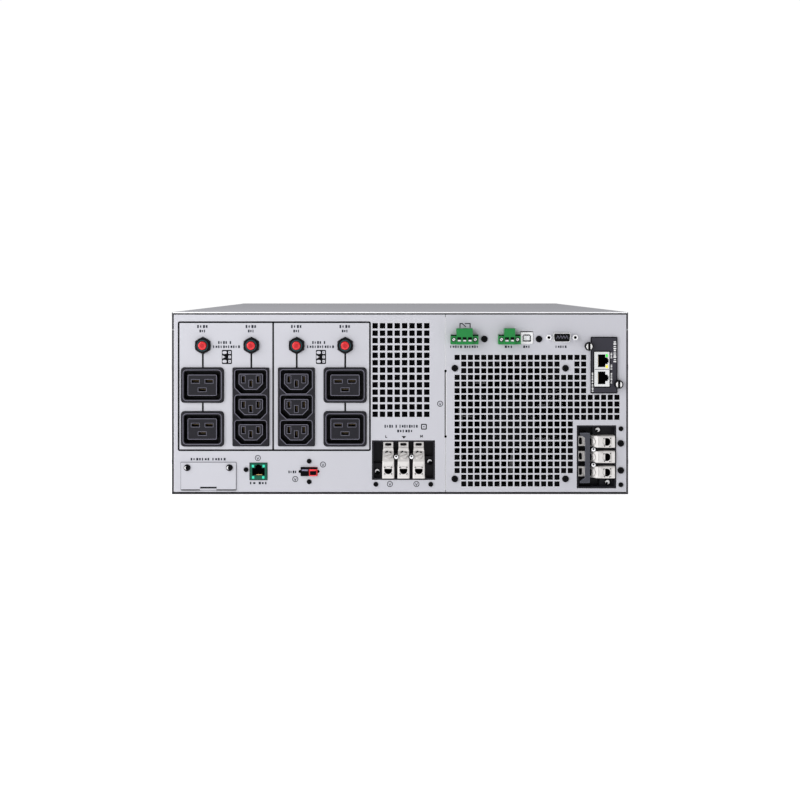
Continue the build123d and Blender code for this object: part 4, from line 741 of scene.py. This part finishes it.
def lugMarks():
    dark, shade = bmesh.new(), bmesh.new()
    o, i, p = outputLugs, inputLugs, lugCornerShade
    for x in o["xs"]:
        shift, step, size, turn = o["dash"]
        for side in (-1, 1):
            dash = faceBlock(dark, (x + side * shift, o["slotZ"] - side * step), size, o["slotOut"])
            turnAbout(dark, dash, (x + side * shift, o["slotZ"]), turn)
        z, size, corner, out = o["head"]
        solidRounded(dark, (x, z), size, corner, out)
        z, size, out = o["collar"]
        faceBlock(shade, (x, z), size, out)
    for z in i["zs"]:
        for x, size, corner, out in (i["head"], i["bite"]):
            solidRounded(dark, (x, z), size, corner, out)
        x, radius, line, out = i["swell"]
        before = set(shade.verts)
        faceRing(shade, (x, z), radius, line, out, 64)
        ring = [v for v in shade.verts if v not in before]
        geom = list(dict.fromkeys(g for v in ring for g in (v, *v.link_edges, *v.link_faces)))
        bmesh.ops.bisect_plane(shade, geom=geom, dist=1e-7, plane_co=(i["limit"] * mm, 0, 0), plane_no=(1, 0, 0),
                clear_inner=True)
    for block in ("output", "input"):
        for x, z in wireHoles[block]:
            for dx, dz in p[block]:
                turnedBlock(dark, (x + dx, z + dz), p["size"], p["out"], 45 if dx * dz > 0 else -45)
            if block == "input":
                low, high, half = p["wedge"]
                faceBox(shade, (x + low, x + high), (z - half, z + half), p["out"])
    faceBox(dark, *i["edge"])
    makePiece("lugSlotShade", dark, "case", blackAndShade)
    makePiece("lugShading", shade, "case", softShade)


# radius and out of the painted shade round each screw; then shift, radius and out of the bright face and of the dark
# dot of painted shade on it
linkFaces = {"centres": ((-3.95, 35.8), (10.55, 35.8), (183.1, 42.75), (183.1, 28.25)),
        "seat": (2.6, (-0.9, 1.5), 28),
        "face": (0.35, -0.25, (1.9, (1.5, 1.8), 28)), "dot": (0.3, 0.35, (0.95, (1.8, 1.86), 12))}
# x, z, bright radius, then the painted shade of the recess over it: shift and radius
padFaces = {"screws": ((-21.7, 20.8, 2.1, 0.3, -1.3, 2), (28.3, 30.1, 2.1, 0.5, -1.2, 2),
        (198.1, 10.5, 1.7, -0.8, -0.9, 1.1), (188.8, 60.5, 1.7, -1, -0.8, 1.1)),
        "seat": (2.9, (-9.4, -8.2), 28), "bright": (-8.1, -7.95), "cover": (-7.95, -7.8)}


def blockScrewFaces():
    seats, faces = bmesh.new(), bmesh.new()
    k, p = linkFaces, padFaces
    for x, z in k["centres"]:
        faceDisc(seats, (x, z), *k["seat"])
        for bm, (dx, dz, disc) in ((faces, k["face"]), (seats, k["dot"])):
            faceDisc(bm, (x + dx, z + dz), *disc)
    for x, z, bright, dx, dz, cover in p["screws"]:
        faceDisc(seats, (x, z), *p["seat"])
        faceDisc(faces, (x, z), bright, p["bright"], 28)
        faceDisc(seats, (x + dx, z + dz), cover, p["cover"], 28)
    makePiece("blockScrewShade", seats, "case", blackAndShade)
    makePiece("blockScrewFaces", faces, "case", bareSteel)


lugMarks()
blockScrewFaces()

# marks on the round power key and the three menu keys
powerMark = {"centre": (104, 156), "radius": 3.4, "line": 0.75, "tall": 0.84, "gap": 32, "steps": 30,
        "stem": (0.8, 4.4), "out": (1.1, 1.26)}
menuMarks = {"up": (32, 180), "down": (52, 0), "enter": (72, -90)}
menuLine = {"z": 156, "radius": 1.9, "out": (1.1, 1.26), "hook": ((-3.4, 0, -0.35, 0.35), (-3.4, -2.7, 0, 2.2))}


def keyMarks():
    p, m = powerMark, menuMarks
    bm = bmesh.new()
    x, z = p["centre"]
    for step in range(p["steps"]):
        angle = 90 + p["gap"] + (360 - 2 * p["gap"]) * step / (p["steps"] - 1)
        part = faceBlock(bm, (x + p["radius"], z), (p["line"], p["tall"]), p["out"], front)
        turnAbout(bm, part, p["centre"], angle, front)
    low, high = p["stem"]
    faceBox(bm, (x - p["line"] / 2, x + p["line"] / 2), (z + low, z + high), p["out"], front)
    makePiece("powerMark", bm, "power_key", whiteInk)
    z, out = menuLine["z"], menuLine["out"]
    for name, (x, turn) in m.items():
        bm = bmesh.new()
        arrow = faceDisc(bm, (x, z), menuLine["radius"], out, 3, front)
        turnAbout(bm, arrow, (x, z), turn, front)
        if name == "enter":
            for x0, x1, z0, z1 in menuLine["hook"]:
                faceBox(bm, (x + x0, x + x1), (z + z0, z + z1), out, front)
        makePiece(name + "Mark", bm, name + "_key", whiteInk)


# outlines: centre, size, corner, line; charge and levels are bars laid out to the left
display = {"outlines": (((-24, 156.2), (70, 19.6), 1.2, 0.35), ((-3, 160.4), (15, 6.4), 0.6, 0.5)),
        "nib": ((-11.8, -10.5), (159.1, 161.7)), "charge": {"from": 3.1, "step": 3.2, "wide": 2.3, "low": 158.5,
        "high": (3.8, 3.8, 3.8, 3.8)},
        "levels": {"from": -20, "step": 6.6, "wide": 4.4, "low": 149, "high": (2.2, 4, 5.8, 7.6, 9.4)},
        "rows": (((8.5, -14), (152.15, 153.05)), ((8.5, -6), (149.15, 150.05))), "out": (-0.42, -0.34)}


def displayPiece():
    bm = bmesh.new()
    d = display
    for outline in d["outlines"]:
        roundedOutline(bm, *outline, d["out"], front)
    faceBox(bm, *d["nib"], d["out"], front)
    for bars in (d["charge"], d["levels"]):
        for n, high in enumerate(bars["high"]):
            left = bars["from"] - n * bars["step"]
            faceBox(bm, (left - bars["wide"], left), (bars["low"], bars["low"] + high), d["out"], front)
    for x, z in d["rows"]:
        faceBox(bm, x, z, d["out"], front)
    makePiece("displayContent", bm, "case", displayLight)


statusLamps = {"x": 19.8, "lens": (1.15, (-0.2, 0.35), 20), "lamps": (("lampOne", 150.6, lampUnlit),
        ("lampTwo", 156, lampUnlit),
        ("lampThree", 161.4, lampOn))}


def lampPieces():
    for name, z, finish in statusLamps["lamps"]:
        bm = bmesh.new()
        faceDisc(bm, (statusLamps["x"], z), *statusLamps["lens"], front)
        makePiece(name, bm, "case", finish, bevel=0.15)


# rating labels and tab sleeves on the sealed batteries of one drawer
packLabels = {"pitch": (103, 152), "size": (58, 78), "at": (46, 92), "stripe": (27, 18),
        "thick": 0.12,
        "ink": 0.072, "tab": (97, 15, 12.5), "layer": 65, "sleeve": ((0.3, 4.2), 2.4, 3.6)}


def packPieces(side):
    p, (lowest, highest) = packLabels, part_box("battery_blocks_" + side)
    labels, stripes, sleeves = bmesh.new(), bmesh.new(), bmesh.new()
    level = {"y": 0, "out": 1}
    inner = min(abs(lowest.x), abs(highest.x)) / mm
    sign = 1 if lowest.x > 0 else -1
    top, near, low = highest.z / mm, lowest.y / mm, lowest.z / mm
    wide, long = p["size"][0] / 2, p["size"][1] / 2
    flat, raised = top + p["thick"], top + p["thick"] + p["ink"]
    across, back, up = p["tab"]
    (gap, reach), rise, half = p["sleeve"]
    for column in (0, 1):
        for row in (0, 1):
            cornerX, cornerY = inner + column * p["pitch"][0], near + row * p["pitch"][1]
            x, y = cornerX + p["at"][0], cornerY + p["at"][1]
            xs, edge = (sign * (x - wide), sign * (x + wide)), y + long
            faceBox(labels, xs, (top, flat), (y - long, y + long), level)
            faceBox(stripes, xs, (flat, raised), (edge - p["stripe"][0], edge - p["stripe"][1]), level)
            x, y = cornerX + across, cornerY + back
            for layer in (0, 1):
                z = low + layer * p["layer"] + up
                faceBox(sleeves, (sign * (x + gap), sign * (x + reach)), (z - rise, z + rise),
                        (y - half, y + half), level)
    body = "drawer_" + side
    makePiece(side + "PackLabels", labels, body, palePaintAndHighlight)
    makePiece(side + "PackStripes", stripes, body, finishes["breaker_red"])
    makePiece(side + "TabSleeves", sleeves, body, finishes["breaker_red"], bevel=0.3)


# joints and edge contacts on the card's solder side: from y, to y (behind the rear face), step, rows of z
solderRows = {"rows": ((40, 62.5, 2.5, (107, 131)), (72, 86.5, 2, (125, 141.5)),
        (70, 100.5, 2.5, (103, 113)), (14, 32, 2, (104, 109, 118, 123))),
        "size": 1.1, "high": 0.35}
edgeFingers = {"y": (-129, -120), "z": (102, 143), "step": 2.54, "wide": 1.5, "high": 0.08}


def cardSolder():
    r, f = solderRows, edgeFingers
    joints, fingers = bmesh.new(), bmesh.new()
    side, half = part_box("card_board")[1].x / mm, r["size"] / 2
    for start, stop, step, zs in r["rows"]:
        for n in range(int((stop - start) / step) + 1):
            y = -(start + n * step)
            for z in zs:
                faceBox(joints, (side, side + r["high"]), (z - half, z + half), (y - half, y + half))
    half = f["wide"] / 2
    for n in range(int((f["z"][1] - f["z"][0]) / f["step"]) + 1):
        z = f["z"][0] + n * f["step"]
        faceBox(fingers, (side, side + f["high"]), (z - half, z + half), f["y"])
    makePiece("cardSolder", joints, "network_card", bareSteel, bevel=0.12)
    makePiece("cardFingers", fingers, "network_card", goldPin)


# black sheets of painted shade that close the space behind the small grille and round the fan
grilleShadeSheets = ((-27.5, 29.5, 72, 164, -4.4, -3.6), (50, 179, 127.4, 133.2, -4.4, -3.6),
        (165.3, 179, 94.8, 127.4, -4.4, -3.6), (165.3, 210.5, 68.6, 94.8, -4.4, -3.6))

keyMarks()
displayPiece()
lampPieces()
packPieces("left")
packPieces("right")
cardSolder()
makePiece("grilleShadeSheets", boxSet(grilleShadeSheets), "case", blackAndShade)

breakerTrim = {"xs": (-187.1, -141.1, -98.1, -52), "z": 141.2, "washer": (7.55, (0, 0.6), 36),
        "ring": (5.15, 0.5, (4.6, 4.68)), "centre": (1.95, (6.55, 6.68), 24)}
# a black line of painted shadow round the environment jack
jackShadowLine = ((-134.3, 21.7), (17.2, 16.8), 0.3, 0.7, (0, 0.08))


def breakerPieces():
    washersAndShadow, rings = bmesh.new(), bmesh.new()
    b = breakerTrim
    for number, x in enumerate(b["xs"], start=1):
        spot = (x, b["z"])
        faceDisc(washersAndShadow, spot, *b["washer"])
        faceRing(rings, spot, *b["ring"])
        bm = bmesh.new()
        faceDisc(bm, spot, *b["centre"])
        makePiece("buttonCentre" + str(number), bm, "breaker_" + str(number), buttonCentre, bevel=0.05)
    roundedOutline(washersAndShadow, *jackShadowLine)
    makePiece("washersAndJackShadow", washersAndShadow, "case", nutBlack)
    makePiece("breakerRings", rings, "case", bushRing)


breakerPieces()

# contact bars, faces and joint lines of the ports, with painted highlights on their lit edges and painted shade in
# their gaps, as boxes
portTrim = {
    # painted highlights at the green jack's corners
    "envCornerHighlights": (jackTeal, "case", "green_moulding",
        ((-140.6, -138.5, 25.6, 28, 0.8, 1), (-130.4, -128.2, 25.6, 28, 0.8, 1),
        (-140.4, -138.2, 15, 17.2, 0.8, 1), (-130.8, -128.6, 15, 17.2, 0.8, 1))),
    "envContactBar": (goldPin, "case", "contact_brass", ((-136.4, -130.9, 17.95, 18.75, -1.2, -0.4),)),
    # painted highlights where the module plug's ledges catch light
    "plugBlackHighlight": (plugLilac, "case", "port_dark", ((-93.1, -87.4, 22.3, 23.8, 1.6, 1.95),)),
    "plugRedHighlight": (plugRed, "case", "red_moulding",
        ((-85.5, -79.8, 22.3, 23.8, 1.6, 1.95), (-85.8, -79, 17.5, 18.3, 1.6, 1.8))),
    # painted shade in the module plug's openings and above its ledge
    "plugShadeStrips": (blackAndShade, "case", "port_dark",
        ((-94.2, -78.4, 24.2, 25.8, 1.6, 1.95), (-94.2, -86.6, 17.4, 22.2, 1.6, 1.7),
        (-85.4, -79.7, 18.5, 21.9, 1.6, 1.68))),
    # painted shadow along the top of the plug flanges
    "relaySocketShadow": (blackAndShade, "relay_connector", "port_dark",
        ((47.9, 53.2, 150.5, 151.7, 8.5, 8.6), (68.7, 74, 150.5, 151.7, 8.5, 8.6))),
    "epoSocketShadow": (blackAndShade, "epo_connector", "port_dark",
        ((93, 98.2, 150.5, 151.7, 8.5, 8.6), (108.6, 113.8, 150.5, 151.7, 8.5, 8.6))),
    "usbTongueFace": (palePaintAndHighlight, "case", "port_white", ((117.5, 123.1, 146.2, 150.4, -0.6, -0.1),)),
    "cardDivider": (shutLineAndShade, "network_card", "port_dark", ((184.5, 198.2, 118.3, 119, 2.2, 2.27),)),
}
for trimName, (trimFinish, trimBody, trimSlot, boxes) in portTrim.items():
    makePiece(trimName, boxSet(boxes), trimBody, trimFinish, bevel=0.05)

# x, z, width and height of each step of the cavity
envCavity = {"steps": ((-134.3, 21.5, 11.9, 7), (-134.3, 26, 6.2, 2.8), (-134.3, 27.7, 3.4, 1.4)), "depth": 11.8,
        "front": 0.7, "wall": 0.2, "back": 0.4, "play": 0.02}


# black painted shade lining the green jack's cavity
def envJackShade():
    bm = bmesh.new()
    c = envCavity
    wall, play, depth = c["wall"], c["play"], (-c["depth"], c["front"])
    for k, (x, z, width, height) in enumerate(c["steps"]):
        w, h = width / 2 - play, height / 2 - play
        faceBox(bm, (x - w, x + w), (z - h, z + h), (-c["depth"], -c["depth"] + c["back"]))
        for side in (-1, 1):
            faceBox(bm, (x + side * w, x + side * (w - wall)), (z - h, z + h), depth)
        if k == 0:
            faceBox(bm, (x - w, x + w), (z - h, z - h + wall), depth)
    makePiece("envJackShade", bm, "case", blackAndShade)


# a zigzag of painted highlight where the serial port's pins catch light
zigzag = {"from": (148.1, 147.7), "step": (1.385, 3.1), "count": 8, "line": 0.42, "out": (3.6, 3.72)}


def serialPinGleam():
    bm = bmesh.new()
    z = zigzag
    dx, dz = z["step"]
    length, lean = math.hypot(dx, dz), math.degrees(math.atan2(dx, dz))
    for k in range(z["count"]):
        spot = (z["from"][0] + (k + 0.5) * dx, z["from"][1] + dz / 2)
        turnedBlock(bm, spot, (z["line"], length), z["out"], lean if k % 2 == 0 else -lean)
    makePiece("serialPinGleam", bm, "case", edgeGleam)


# painted shadow lines, drawn in ink, round the card's jack block and round its plate: centre, size, corner, line, out
cardShadowLines = (((191.35, 118.8), (16.4, 34.9), 0.5, 1, (1.6, 1.68)),
        ((193.5, 122.6), (25.3, 53.5), 1, 0.8, (1.6, 1.66)))


coverScrews = {"centres": ((-201.8, 25.4), (-161.8, 25.4)), "gleam": (-1, 1.5, (2.85, 3)),
        "cover": (0.2, 1.65, (2.85, 3.05))}


def coverScrewGleams():
    bright, dark = bmesh.new(), bmesh.new()
    for bm, (shift, radius, out) in ((bright, coverScrews["gleam"]), (dark, coverScrews["cover"])):
        for x, z in coverScrews["centres"]:
            faceDisc(bm, (x + shift, z), radius, out, 24)
    makePiece("coverScrewGleams", bright, "case", bareSteel)
    makePiece("coverScrewFaces", dark, "case", blackAndShade)


envJackShade()
serialPinGleam()
bm = bmesh.new()
for outline in cardShadowLines:
    roundedOutline(bm, *outline)
makePiece("cardShadowLines", bm, "network_card", ink)
coverScrewGleams()
print("terminal and port trim made")

# camera, light and floor; distances in metres
view = {"back": 1.476, "height": 0.1986, "lens": 69.98, "sensor": 36, "shift": -0.14375, "reach": 50}
studio = {"seen": 1.02, "level": 0.5, "overhead": 0.52, "heights": (0.05, 0.8)}
keyLight = {"place": (-1, -1.2, 0.55), "target": (-0.1, -0.34, 0.08), "size": 1.4, "power": 13.6}
floorLook = {"size": 8, "glow": 0.62}

camera = bpy.data.objects.new("camera", bpy.data.cameras.new("camera"))
bpy.context.scene.collection.objects.link(camera)
camera.location = (0, rearY - view["back"], view["height"])
camera.rotation_euler = (math.radians(90), 0, 0)
camera.data.lens, camera.data.sensor_width = view["lens"], view["sensor"]
camera.data.shift_y = view["shift"]
camera.data.clip_end = view["reach"]
bpy.context.scene.camera = camera

scene = bpy.context.scene
scene.view_settings.view_transform = "Standard"
world = bpy.data.worlds.new("studio")
scene.world = world
world.use_nodes = True


def studioSky():
    # white to the camera; as a light it is much dimmer
    tree = world.node_tree
    add, link = tree.nodes.new, tree.links.new
    sky = tree.nodes["Background"]
    fill(sky, {"Color": (1, 1, 1, 1)})
    coords = add("ShaderNodeTexCoord")
    split = add("ShaderNodeSeparateXYZ")
    link(coords.outputs["Generated"], split.inputs["Vector"])
    strength = mapRange(tree, split.outputs["Z"], studio["heights"], (studio["level"], studio["overhead"]))
    link(strength, sky.inputs["Strength"])
    backdrop = add("ShaderNodeBackground")
    fill(backdrop, {"Color": (1, 1, 1, 1), "Strength": studio["seen"]})
    rays = add("ShaderNodeLightPath")
    choose = add("ShaderNodeMixShader")
    link(rays.outputs["Is Camera Ray"], choose.inputs["Fac"])
    link(sky.outputs["Background"], choose.inputs[1])
    link(backdrop.outputs["Background"], choose.inputs[2])
    link(choose.outputs["Shader"], tree.nodes["World Output"].inputs["Surface"])


studioSky()
lamp = bpy.data.objects.new("key", bpy.data.lights.new("key", "AREA"))
lamp.data.shape, lamp.data.size, lamp.data.energy = "DISK", keyLight["size"], keyLight["power"]
lamp.location = keyLight["place"]
aim = Vector(keyLight["target"]) - Vector(keyLight["place"])
lamp.rotation_euler = aim.to_track_quat("-Z", "Y").to_euler()
scene.collection.objects.link(lamp)

bm = bmesh.new()
bmesh.ops.create_grid(bm, x_segments=1, y_segments=1, size=floorLook["size"])
floorMesh = bpy.data.meshes.new("floor")
bm.to_mesh(floorMesh)
bm.free()
floor = bpy.data.objects.new("floor", floorMesh)
scene.collection.objects.link(floor)
floorPaint = newFinish("floorPaint", (0.95, 0.95, 0.95), 0.8, specular=0.1, mottle=0.005, bump=0,
        glow=floorLook["glow"])
floorMesh.materials.append(floorPaint)
print("camera and light set")
